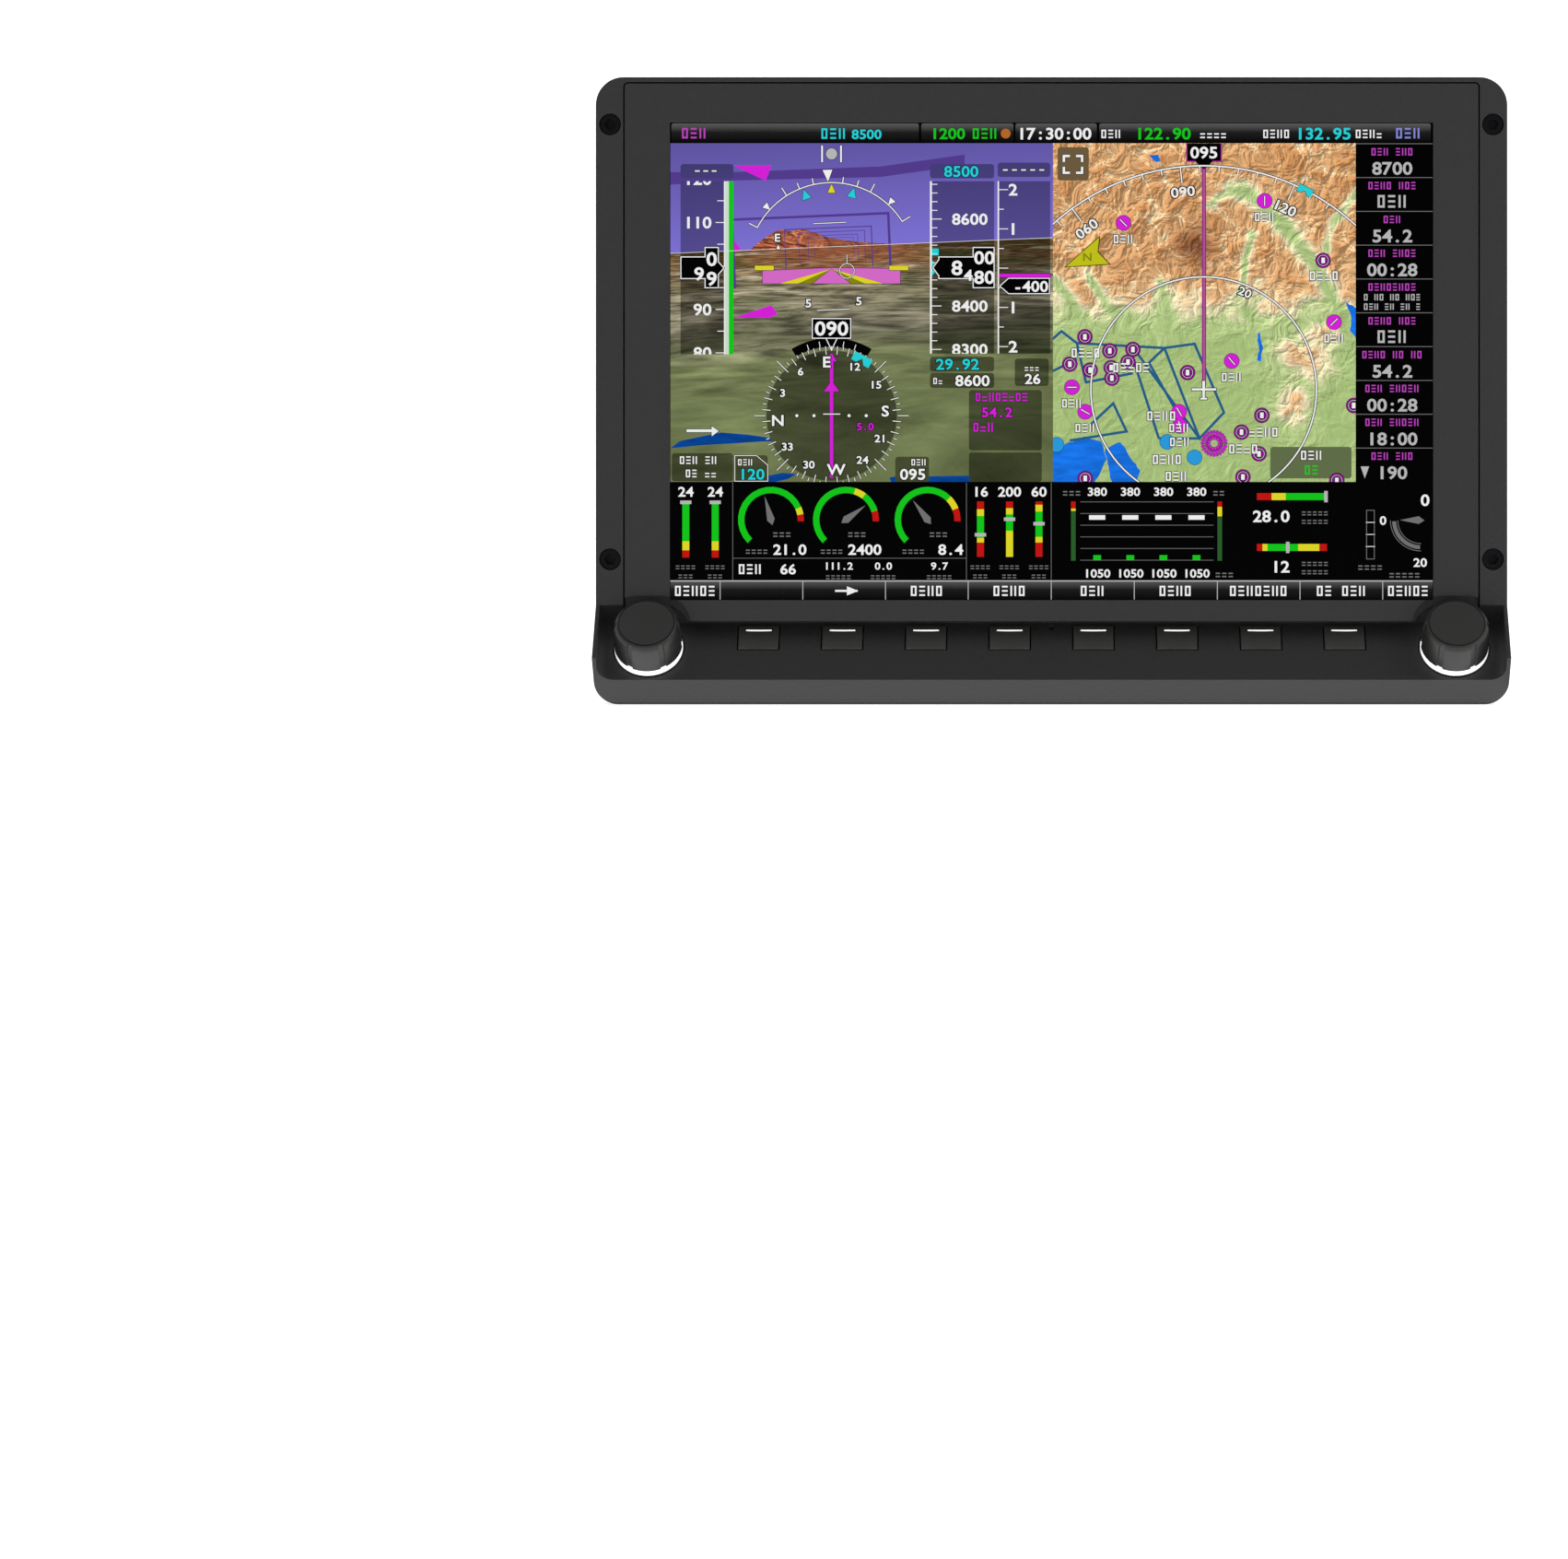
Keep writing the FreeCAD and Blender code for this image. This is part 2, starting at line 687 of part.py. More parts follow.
def knob_notch(body, name, top, depth):
    """Cut the round-cornered notches that clear the knobs at the lower corners."""
    sketch = new_sketch(body, name, "XZ_Plane", minus(FRONT))
    for side in SIDES.values():
        middle = f"{side} * dims.knob_spread / 2"
        rounded_rectangle(sketch, f"{middle} - dims.notch_half", f"({top}) - 3 * dims.notch_half",
                          f"{middle} + dims.notch_half", top, "dims.notch_corner")
    pocket(body, sketch, depth)


def make_display_panel():
    """Flush plate round the screen, inside the thin seam."""
    body = new_body("display_panel")
    plate = new_sketch(body, "plate", "XZ_Plane", minus(PANEL_BACK))
    rectangle(plate, "-dims.panel_width / 2", "dims.panel_bottom",
              "dims.panel_width / 2", "dims.panel_top")
    pad(body, plate, "dims.panel_thick")
    top = number("dims.panel_top")
    dress(body, "Fillet", "dims.panel_corner",
          lambda edge: along(edge, V(0, 1, 0)) and close(edge_middle(edge).z, top))
    knob_notch(body, "deep_notch", "dims.notch_deep_top", "dims.panel_thick")
    knob_notch(body, "notch", "dims.notch_top", "dims.notch_depth")
    window = new_sketch(body, "window", "XZ_Plane", minus(FRONT))
    centred_rectangle(window, "dims.screen_width + 2 * dims.window_gap",
                      "dims.screen_height + 2 * dims.window_gap", up="dims.screen_middle")
    pocket(body, window, "dims.panel_thick")


# ---------------------------------------------------------------- display stack
def slab(name, width, bottom, top, front, thick):
    """A plain upright plate: front is the formula of its front face's Y."""
    body = new_body(name)
    outline = new_sketch(body, "outline", "XZ_Plane", minus(front))
    rectangle(outline, f"-({width}) / 2", bottom, f"({width}) / 2", top)
    pad(body, outline, thick, backwards=True)
    return body


def make_cover_glass():
    front = f"{FRONT} + dims.glass_recess"
    body = slab("cover_glass", "dims.screen_width", SCREEN_BOTTOM, SCREEN_TOP, front,
                "dims.glass_thick")
    bottom = number(SCREEN_BOTTOM)
    dress(body, "Chamfer", "dims.glass_corner",
          lambda edge: along(edge, V(0, 1, 0)) and close(edge_middle(edge).z, bottom))


def make_lcd_module():
    """Metal-framed module whose cell stands forward into the panel's window."""
    body = slab("lcd_module", "dims.lcd_width", "dims.lcd_bottom", "dims.lcd_top", LCD_FRONT,
                "dims.lcd_thick")
    cell = new_sketch(body, "cell", "XZ_Plane", minus(LCD_FRONT))
    centred_rectangle(cell, "dims.screen_width", "dims.screen_height", up="dims.screen_middle")
    pad(body, cell, "dims.cell_thick")
    bottom = number(SCREEN_BOTTOM)
    dress(body, "Chamfer", "dims.glass_corner",
          lambda edge: along(edge, V(0, 1, 0)) and close(edge_middle(edge).z, bottom)
          and edge_middle(edge).y < number(LCD_FRONT))


def make_backlight_unit():
    slab("backlight_unit", "dims.lcd_width - 2 * dims.backlight_inset",
         "dims.lcd_bottom + dims.backlight_inset", "dims.lcd_top - dims.backlight_inset",
         LCD_BACK, "dims.backlight_thick")


def make_display_carrier():
    """Sheet tray screwed to the back of the bezel; its rims take the housing screws."""
    width = f"2 * ({INNER_WIDTH} - dims.tray_gap)"
    bottom = "dims.housing_bottom_z + dims.housing_wall + dims.tray_gap"
    top = "dims.housing_top_z - dims.housing_wall - dims.tray_gap"
    body = slab("display_carrier", width, bottom, top, "0", "dims.tray_rim")
    hollow = new_sketch(body, "hollow", "XZ_Plane", "-dims.tray_thick")
    rectangle(hollow, "-dims.housing_width", f"{bottom} + dims.tray_thick",
              "dims.housing_width", f"{top} - dims.tray_thick")
    pocket(body, hollow, "dims.tray_rim")
    notch = new_sketch(body, "ribbon_notch", "XZ_Plane", "0")
    rectangle(notch, "-dims.tray_notch / 2", "dims.cavity_top",
              "dims.tray_notch / 2", "dims.tray_notch_top")
    pocket(body, notch, "dims.tray_rim * 2")
    ribbon_window = new_sketch(body, "display_ribbon_window", "XZ_Plane", "0")
    rectangle(ribbon_window, "dims.tray_notch", "dims.tray_notch_top",
              "2 * dims.tray_notch", "dims.tray_notch_top + 6")
    pocket(body, ribbon_window, "dims.tray_rim")
    holes = new_sketch(body, "screw_holes", "XZ_Plane", "0")
    for across, up in CARRIER_SCREWS + STANDOFFS:
        circle(holes, "dims.small_screw", str(across), str(up))
    pocket(body, holes, "dims.tray_rim")
    rim_holes = new_sketch(body, "rim_holes", "XY_Plane", "dims.housing_top_z")
    for across in SIDE_SCREW_X:
        circle(rim_holes, "dims.small_screw", str(across), "dims.tray_rim * 0.6")
    pocket(body, rim_holes, "dims.housing_top_z * 3")


# ---------------------------------------------------------------- rear housing
def make_rear_housing():
    """Deep-drawn can with ventilation slots, connector openings and a fan grille."""
    body = slab("rear_housing", "dims.housing_width", "dims.housing_bottom_z",
                "dims.housing_top_z", "-dims.seat_deep", "dims.housing_depth + dims.seat_deep")
    dress(body, "Fillet", "dims.housing_corner",
          lambda edge: along(edge, V(0, 1, 0)))
    back = number("dims.housing_depth")
    dress(body, "Fillet", "dims.housing_wall",
          lambda edge: close(edge.BoundBox.YMin, back, 0.01))
    hollow = new_sketch(body, "hollow", "XZ_Plane", "dims.seat_deep")
    rectangle(hollow, minus(INNER_WIDTH), "dims.housing_bottom_z + dims.housing_wall",
              INNER_WIDTH, "dims.housing_top_z - dims.housing_wall")
    pocket(body, hollow, f"{REAR_WALL} + dims.seat_deep", backwards=False)
    cut_vents(body)
    cut_rear_openings(body)
    rims = new_sketch(body, "rim_holes", "XY_Plane", "dims.housing_top_z")
    for across in SIDE_SCREW_X:
        circle(rims, "dims.small_screw", str(across), "dims.tray_rim * 0.6")
    pocket(body, rims, "dims.housing_top_z * 3")


def cut_vents(body):
    """Slots through the top and bottom walls, and through both side walls."""
    upright = new_sketch(body, "top_vents", "XY_Plane", "dims.housing_top_z")
    for step in range(-12, 13):
        if step % 8:
            rectangle(upright, f"{step} * dims.vent_pitch - dims.vent_width / 2",
                      "dims.vent_front", f"{step} * dims.vent_pitch + dims.vent_width / 2",
                      "dims.vent_back")
    pocket(body, upright, "dims.housing_top_z * 3")
    side = new_sketch(body, "side_vents", "YZ_Plane", "dims.housing_width / 2")
    for step in range(-5, 6):
        rectangle(side, "dims.vent_front", f"{step} * dims.vent_pitch - dims.vent_width / 2",
                  "dims.vent_back", f"{step} * dims.vent_pitch + dims.vent_width / 2")
    pocket(body, side, "dims.housing_width")


def connector_places():
    """Name, centre formula and half width of every D-shaped connector on the rear wall."""
    main = ("main", "dims.main_connector_x", "dims.main_connector_width")
    small = [(f"aux_{index}", f"dims.small_connector_x + {index} * dims.small_connector_pitch",
              "dims.small_connector_width") for index in (0, 1)]
    return [main] + small


def cut_rear_openings(body):
    openings = new_sketch(body, "rear_openings", "XZ_Plane", minus("dims.housing_depth"))
    for _, across, width in connector_places():
        centred_rectangle(openings, f"{width} - 2 * dims.shell_side", "dims.shell_height",
                          across, "dims.connector_z")
    for step in (0, 1):
        centred_rectangle(openings, "dims.usb_width", "dims.usb_height", "dims.usb_x",
                          f"dims.usb_z - {step} * dims.usb_pitch")
    centred_rectangle(openings, "dims.network_width", "dims.network_height",
                      "dims.network_x", "dims.usb_z - dims.usb_pitch / 2")
    circle(openings, "dims.antenna_radius * 0.75", "dims.antenna_x", "dims.connector_z")
    pocket(body, openings, "dims.housing_wall * 2", backwards=True)

    holes = new_sketch(body, "jackscrew_holes", "XZ_Plane", minus("dims.housing_depth"))
    for _, across, width in connector_places():
        for side in (-1, 1):
            circle(holes, "dims.small_screw * 1.5",
                   f"{across} + {side} * (({width}) / 2 - dims.shell_side / 2)",
                   "dims.connector_z")
    for side in (-1, 1):
        for up in (-1, 1):
            circle(holes, "dims.small_screw", f"dims.fan_x + {side} * dims.fan_hole_pitch / 2",
                   f"dims.fan_z + {up} * dims.fan_hole_pitch / 2")
    pocket(body, holes, "dims.housing_wall * 2", backwards=True)
    cut_fan_grille(body)


def cut_fan_grille(body):
    """Three rings of slots: whole rings are cut, then the spokes are padded back."""
    grille = new_sketch(body, "grille", "XZ_Plane", minus("dims.housing_depth"))
    for factor in (0.98, 0.8, 0.66, 0.48, 0.34, 0.16):
        circle(grille, f"dims.fan_bore * {factor}", "dims.fan_x", "dims.fan_z")
    spokes = new_sketch(body, "spokes", "XZ_Plane", minus(REAR_WALL))
    centred_rectangle(spokes, "dims.fan_bore * 2", "dims.spoke_width",
                      "dims.fan_x", "dims.fan_z")
    upright = new_sketch(body, "upright_spokes", "XZ_Plane", minus(REAR_WALL))
    centred_rectangle(upright, "dims.spoke_width", "dims.fan_bore * 2",
                      "dims.fan_x", "dims.fan_z")
    pocket(body, grille, "dims.housing_wall", backwards=True)
    pad(body, spokes, "dims.housing_wall", backwards=True)
    pad(body, upright, "dims.housing_wall", backwards=True)


def make_lower_cover():
    """Plate that closes the hollow of the ledge, flush with the mounting face."""
    body = new_body("lower_cover")
    outline = new_sketch(body, "outline", "XZ_Plane", "0")
    gap = "dims.cover_gap"
    rounded_rectangle(outline, f"-dims.cover_width / 2 + {gap}", f"dims.cover_bottom + {gap}",
                      f"dims.cover_width / 2 - {gap}", f"dims.cover_top - {gap}",
                      f"dims.cover_corner - {gap}")
    pad(body, outline, "dims.cover_thick")
    holes = new_sketch(body, "holes", "XZ_Plane", "0")
    heads = new_sketch(body, "heads", "XZ_Plane", "0")
    for across, up in COVER_SCREWS:
        circle(holes, "dims.small_screw", str(across), str(up))
        circle(heads, "dims.small_head", str(across), str(up))
    pocket(body, heads, "dims.small_head_tall", backwards=True)
    pocket(body, holes, "dims.cover_thick * 2", backwards=True)


# ---------------------------------------------------------------- pieces on the ledge
def place_on_ledge(body, across="0"):
    """Put a body drawn with Z out of the ledge floor onto the ledge."""
    body.Placement = Placement(V(0, 0, 0), Rotation(V(1, 0, 0), 90 - number("dims.slope")))
    body.setExpression("Placement.Rotation.Angle", "90 - dims.slope")
    body.setExpression("Placement.Base.x", across)
    body.setExpression("Placement.Base.y", LEDGE_Y)
    body.setExpression("Placement.Base.z", LEDGE_Z)
    doc.recompute()


def turned(name, corners):
    """A solid of revolution about the body's Z from (radius, height) formulas."""
    body = new_body(name)
    profile = new_sketch(body, "profile", "XZ_Plane")
    polygon(profile, corners)
    revolve(body, profile)
    return body


def ring_corners(inner, outer, low, high):
    return [(inner, low), (outer, low), (outer, high), (inner, high)]


def make_knob(side_name, across):
    """Hollow turning cap with a raised disc on top and six shallow grip grooves."""
    shoulder = "dims.knob_radius - dims.cap_bevel"
    groove = "dims.cap_radius + dims.cap_groove"
    groove_floor = "dims.knob_high - dims.cap_groove"
    body = turned(f"{side_name}_knob", [
        ("0", "dims.knob_roof"), ("dims.shaft_radius", "dims.knob_roof"),
        ("dims.shaft_radius", "dims.boss_low"), ("dims.knob_boss", "dims.boss_low"),
        ("dims.knob_boss", "dims.knob_roof"), ("dims.knob_skirt", "dims.knob_roof"),
        ("dims.knob_skirt", "dims.knob_low"), ("dims.knob_radius", "dims.knob_low"),
        ("dims.knob_radius", "dims.knob_high - dims.cap_bevel"), (shoulder, "dims.knob_high"),
        (groove, "dims.knob_high"), (groove, groove_floor), ("dims.cap_radius", groove_floor),
        ("dims.cap_radius", "dims.knob_high + dims.cap_rise"),
        ("0", "dims.knob_high + dims.cap_rise")])
    grip = new_sketch(body, "grip", "XY_Plane", "dims.knob_low")
    rectangle(grip, "dims.knob_radius - dims.grip_deep", "-dims.grip_width / 2",
              "dims.knob_radius + 1", "dims.grip_width / 2")
    grip_cut = pocket(body, grip, "dims.knob_high - dims.knob_low - 2 * dims.cap_bevel",
                      backwards=True)
    grips = body.newObject("PartDesign::PolarPattern", f"{body.Name}_grips")
    grips.Originals = [grip_cut]
    grips.Axis = (grip, ["N_Axis"])
    grips.Angle = 360
    grips.Occurrences = 6
    body.Tip = grips
    doc.recompute()
    place_on_ledge(body, across)


def make_light_ring(side_name, across):
    """Luminous ring fixed under the knob."""
    body = turned(f"{side_name}_light_ring",
                  ring_corners("dims.ring_inner", "dims.ring_radius", "0", "dims.knob_low"))
    outer = number("dims.ring_radius")
    dress(body, "Fillet", "dims.well_bevel",
          lambda edge: close(edge.Length, 2 * math.pi * outer))
    place_on_ledge(body, across)


def cross_bar(body, name, plane, length):
    """A round bar through the pivot point, along the normal of an origin plane."""
    bar = new_sketch(body, name, plane)
    circle(bar, "dims.trunnion", up="dims.pivot_height")
    pad(body, bar, length, symmetric=True)


def cross_hole(body, name, plane, length):
    hole = new_sketch(body, name, plane)
    circle(hole, "dims.trunnion_hole", up="dims.pivot_height")
    pocket(body, hole, length, symmetric=True)


def bore_through(body, radius):
    bore = new_sketch(body, "bore", "XY_Plane", "dims.knob_high")
    circle(bore, radius)
    pocket(body, bore, "dims.knob_high * 2")


def make_joystick(side_name, across):
    """Gimbal under the knob: housing, rocker ring, hub, sliding sleeve and shaft."""
    base_top = "dims.board_top + dims.housing_base"
    housing = turned(f"{side_name}_joystick_housing", [
        ("dims.housing_window", "dims.board_top"), ("dims.housing_radius", "dims.board_top"),
        ("dims.housing_radius", "dims.housing_top"), ("dims.housing_inner", "dims.housing_top"),
        ("dims.housing_inner", base_top), ("dims.housing_window", base_top)])
    cross_hole(housing, "trunnion_holes", "YZ_Plane", "dims.housing_radius * 3")

    rocker = turned(f"{side_name}_rocker_ring",
                    ring_corners("0", "dims.rocker_radius",
                                 "dims.pivot_height - dims.rocker_half",
                                 "dims.pivot_height + dims.rocker_half"))
    cross_bar(rocker, "trunnions", "YZ_Plane", "dims.trunnion_reach * 2")
    bore_through(rocker, "dims.rocker_inner")
    cross_hole(rocker, "trunnion_holes", "XZ_Plane", "dims.rocker_radius * 3")

    hub = turned(f"{side_name}_carrier_hub",
                 ring_corners("0", "dims.hub_radius", "dims.hub_low", "dims.hub_high"))
    cross_bar(hub, "trunnions", "XZ_Plane", "dims.hub_reach * 2")
    bore_through(hub, "dims.sleeve_bore")

    sleeve = turned(f"{side_name}_push_sleeve",
                    ring_corners("dims.shaft_bore", "dims.sleeve_radius",
                                 "dims.sleeve_low", "dims.sleeve_high"))
    shaft = turned(f"{side_name}_knob_shaft", [
        ("0", "dims.shaft_low"), ("dims.shaft_flange", "dims.shaft_low"),
        ("dims.shaft_flange", "dims.shaft_collar"), ("dims.shaft_radius", "dims.shaft_collar"),
        ("dims.shaft_radius", "dims.knob_roof"), ("0", "dims.knob_roof")])
    for body in (housing, rocker, hub, sleeve, shaft):
        place_on_ledge(body, across)


def make_key(index):
    """Key cap with a dished face, a hidden retaining flange and a stem."""
    body = new_body(f"button_{index}")
    flange_top = "-dims.floor_skin - dims.key_flange_gap"
    cap = new_sketch(body, "cap", "XY_Plane", flange_top)
    rectangle(cap, "-dims.key_width / 2", "dims.key_low", "dims.key_width / 2",
              "dims.key_high")
    pad(body, cap, f"dims.key_proud - ({flange_top})")
    top = number("dims.key_proud")
    dress(body, "Fillet", "dims.key_edge",
          lambda edge: edge.BoundBox.ZMin > top - 0.01)
    flange = new_sketch(body, "flange", "XY_Plane", flange_top)
    side = "dims.key_flange_side"
    rectangle(flange, f"-dims.key_opening / 2 - {side}", f"dims.key_opening_low - {side}",
              f"dims.key_opening / 2 + {side}", f"dims.key_opening_high + {side}")
    pad(body, flange, "dims.key_flange", backwards=True)
    stem = new_sketch(body, "stem", "XY_Plane", "dims.key_stem_low")
    circle(stem, "dims.key_stem", up="(dims.key_low + dims.key_high) / 2")
    pad(body, stem, f"{flange_top} - dims.key_stem_low")
    dish = new_sketch(body, "dish", "XZ_Plane")
    circle(dish, "dims.key_dish_radius", up="dims.key_proud + dims.key_dish_radius"
           " - dims.key_dish")
    pocket(body, dish, "dims.key_opening * 2", symmetric=True)
    slot = new_sketch(body, "marker_slot", "XY_Plane", "dims.key_proud")
    marker_outline(slot)
    pocket(body, slot, "dims.marker_deep")
    place_on_ledge(body, key_across(index))


def key_across(index):
    return f"{index - 4.5} * dims.key_pitch"


def marker_outline(sketch):
    centred_rectangle(sketch, "dims.marker_width", "dims.marker_high",
                      up="dims.marker_middle")


def make_marker(index):
    """White line insert let into the key's face."""
    body = new_body(f"marker_{index}")
    sketch = new_sketch(body, "bar", "XY_Plane", "dims.key_proud - dims.marker_deep")
    marker_outline(sketch)
    pad(body, sketch, "dims.marker_deep - dims.key_dish / 4")
    place_on_ledge(body, key_across(index))


def make_control_board():
    """Circuit board parallel to the ledge floor, with a push switch under each knob."""
    body = new_body("control_board")
    outline = new_sketch(body, "outline", "XY_Plane", "dims.board_top")
    rectangle(outline, "-dims.board_width / 2", "dims.board_low", "dims.board_width / 2",
              "dims.board_high")
    pad(body, outline, "dims.board_thick", backwards=True)
    holes = new_sketch(body, "holes", "XY_Plane", "dims.board_top")
    for across in CONTROL_SCREW_X:
        circle(holes, "dims.small_screw", str(across), "dims.boss_up")
    pocket(body, holes, "dims.board_thick * 2")
    switches = new_sketch(body, "switches", "XY_Plane", "dims.board_top")
    for side in SIDES.values():
        circle(switches, "dims.switch_radius", f"{side} * dims.knob_spread / 2")
    pad(body, switches, "dims.switch_tall")
    place_on_ledge(body)


def make_keypad_membrane():
    """Silicone sheet under the key stems, with holes for the board's bosses."""
    body = new_body("keypad_membrane")
    outline = new_sketch(body, "outline", "XY_Plane", "dims.board_top")
    rectangle(outline, "-dims.membrane_width / 2", "dims.membrane_low",
              "dims.membrane_width / 2", "dims.membrane_high")
    pad(body, outline, "dims.membrane_thick")
    holes = new_sketch(body, "holes", "XY_Plane", "dims.board_top + dims.membrane_thick")
    for across in CONTROL_SCREW_X[1:3]:
        circle(holes, "dims.boss_radius + 0.3", str(across), "dims.boss_up")
    centred_rectangle(holes, "dims.sensor_hole * 5", "dims.sensor_hole * 5",
                      up="dims.sensor_height")
    pocket(body, holes, "dims.membrane_thick * 2")
    place_on_ledge(body)


def make_sensor_window():
    """Clear light pipe between the sensor on the control board and the ledge floor."""
    body = turned("sensor_window", [
        ("0", "dims.board_top"), ("dims.sensor_hole * 2", "dims.board_top"),
        ("dims.sensor_hole * 2", "dims.sensor_low"), ("dims.sensor_hole", "dims.sensor_low"),
        ("dims.sensor_hole", "-dims.sensor_hole / 2"), ("0", "-dims.sensor_hole / 2")])
    place_on_ledge(body)
    body.setExpression("Placement.Base.y", f"{LEDGE_Y} + dims.sensor_height * sin(dims.slope)")
    body.setExpression("Placement.Base.z", f"{LEDGE_Z} + dims.sensor_height * cos(dims.slope)")


# ---------------------------------------------------------------- electronics
def make_main_board():
    """Processor board on the tray's standoffs, with its larger components."""
    body = slab("main_board", "dims.main_board_width", "dims.main_board_low",
                "dims.main_board_high", "dims.main_board_front", "dims.main_board_thick")
    chips = new_sketch(body, "chips", "XZ_Plane", minus(BOARD_BACK))
    centred_rectangle(chips, "dims.processor_size", "dims.processor_size",
                      "dims.sink_x", "dims.sink_z")
    for step in range(4):
        centred_rectangle(chips, "dims.memory_width", "dims.memory_height",
                          f"dims.memory_x + {step} * dims.memory_pitch", "dims.memory_z")
    for step in range(3):
        centred_rectangle(chips, "dims.regulator_size", "dims.regulator_size",
                          f"dims.regulator_x + {step} * dims.regulator_pitch",
                          "dims.regulator_z")
    pad(body, chips, "dims.chip_tall", backwards=True)
    holes = new_sketch(body, "holes", "XZ_Plane", minus(BOARD_BACK))
    for across, up in STANDOFFS:
        circle(holes, "dims.small_screw", str(across), str(up))
    pocket(body, holes, "dims.main_board_thick * 2", backwards=True)


def make_heat_sink():
    """Finned block on the processor."""
    body = slab("heat_sink", "dims.sink_width", "dims.sink_z - dims.sink_height / 2",
                "dims.sink_z + dims.sink_height / 2", f"{BOARD_BACK} + dims.chip_tall",
                "dims.sink_base")
    fins = new_sketch(body, "fins", "XZ_Plane",
                      minus(f"{BOARD_BACK} + dims.chip_tall + dims.sink_base"))
    count = int(number("dims.sink_width / dims.sink_fin_pitch")) // 2
    for step in range(-count, count + 1):
        if abs(step) * number("dims.sink_fin_pitch") < number("dims.sink_width / 2 - 1"):
            centred_rectangle(fins, "dims.sink_fin_thick", "dims.sink_height",
                              f"{step} * dims.sink_fin_pitch", "dims.sink_z")
    pad(body, fins, "dims.sink_fin", backwards=True)
    body.setExpression("Placement.Base.x", "dims.sink_x")


def make_fan_frame():
    """Square fan frame with a motor base on four struts and an axle pin."""
    front = f"({REAR_WALL} - dims.fan_thick)"
    body = new_body("fan_frame")
    square = new_sketch(body, "square", "XZ_Plane", minus(front))
    centred_rectangle(square, "dims.fan_size", "dims.fan_size", "dims.fan_x", "dims.fan_z")
    pad(body, square, "dims.fan_thick", backwards=True)
    bore = new_sketch(body, "bore", "XZ_Plane", minus(front))
    circle(bore, "dims.fan_bore", "dims.fan_x", "dims.fan_z")
    for side in (-1, 1):
        for up in (-1, 1):
            circle(bore, "dims.small_screw", f"dims.fan_x + {side} * dims.fan_hole_pitch / 2",
                   f"dims.fan_z + {up} * dims.fan_hole_pitch / 2")
    pocket(body, bore, "dims.fan_thick")
    for name, width, height in (("strut", "dims.fan_size - 1", "dims.spoke_width"),
                                ("upright_strut", "dims.spoke_width", "dims.fan_size - 1")):
        strut = new_sketch(body, name, "XZ_Plane", minus(front))
        centred_rectangle(strut, width, height, "dims.fan_x", "dims.fan_z")
        pad(body, strut, "dims.fan_base", backwards=True)
    base = new_sketch(body, "base", "XZ_Plane", minus(front))
    circle(base, "dims.fan_hub - 0.5", "dims.fan_x", "dims.fan_z")
    pad(body, base, "dims.fan_base", backwards=True)
    axle = new_sketch(body, "axle", "XZ_Plane", minus(front))
    circle(axle, "dims.fan_axle", "dims.fan_x", "dims.fan_z")
    pad(body, axle, "dims.fan_thick - dims.fan_base", backwards=True)


def shape_part(name, shape):
    """A sub-part whose shape comes from the modelling functions directly."""
    item = doc.addObject("Part::Feature", name)
    item.Label = name
    item.Shape = shape
    parts.append(item)
    return item


def cylinder(radius, start, end):
    """A cylinder between two points, from a radius in millimetres."""
    way = end - start
    return Part.makeCylinder(radius, way.Length, start, way)


def make_fan_rotor():
    """Hub and pitched blades that turn on the frame's axle pin."""
    hub_radius = number("dims.fan_hub")
    tip_radius = number("dims.fan_tip")
    length = number("dims.fan_thick - 2 * dims.fan_base")
    thick = number("dims.fan_blade_thick")
    hub = cylinder(hub_radius, V(0, 0, 0), V(0, length, 0))
    blade_width = length * 1.05
    blades = []
    count = int(number("dims.fan_blades"))
    for step in range(count):
        blade = Part.makeBox(tip_radius - hub_radius + 1, blade_width, thick,
                             V(hub_radius - 1, -blade_width / 2, -thick / 2))
        blade.rotate(V(0, 0, 0), V(1, 0, 0), number("dims.fan_blade_pitch"))
        blade.translate(V(0, length / 2, 0))
        blade.rotate(V(0, 0, 0), V(0, 1, 0), step * 360 / count)
        blades.append(blade)
    swept = cylinder(tip_radius, V(0, 0, 0), V(0, length, 0))
    shape = hub.fuse(blades).common(swept)
    bore = cylinder(number("dims.fan_axle + dims.fan_axle_gap"), V(0, 0, 0), V(0, length, 0))
    rotor = shape_part("fan_rotor", shape.cut(bore).removeSplitter())
    front = number(f"{REAR_WALL} - dims.fan_thick + 1.5 * dims.fan_base")
    rotor.Placement = Placement(V(number("dims.fan_x"), front, number("dims.fan_z")), Rotation())


# ---------------------------------------------------------------- connectors
def upright_box(width, height, front, back, across, up):
    """A box centred across and up, between two depths."""
    corner = V(across - width / 2, front, up - height / 2)
    return Part.makeBox(width, back - front, height, corner)


def d_shape(width, height, front, back, across, up):
    """A prism with the slanted ends of a D-shaped connector."""
    slant = number("dims.shell_slant")
    outline = [V(across - width / 2, front, up + height / 2),
               V(across + width / 2, front, up + height / 2),
               V(across + width / 2 - slant, front, up - height / 2),
               V(across - width / 2 + slant, front, up - height / 2)]
    wire = Part.makePolygon(outline + outline[:1])
    return Part.Face(wire).extrude(V(0, back - front, 0))


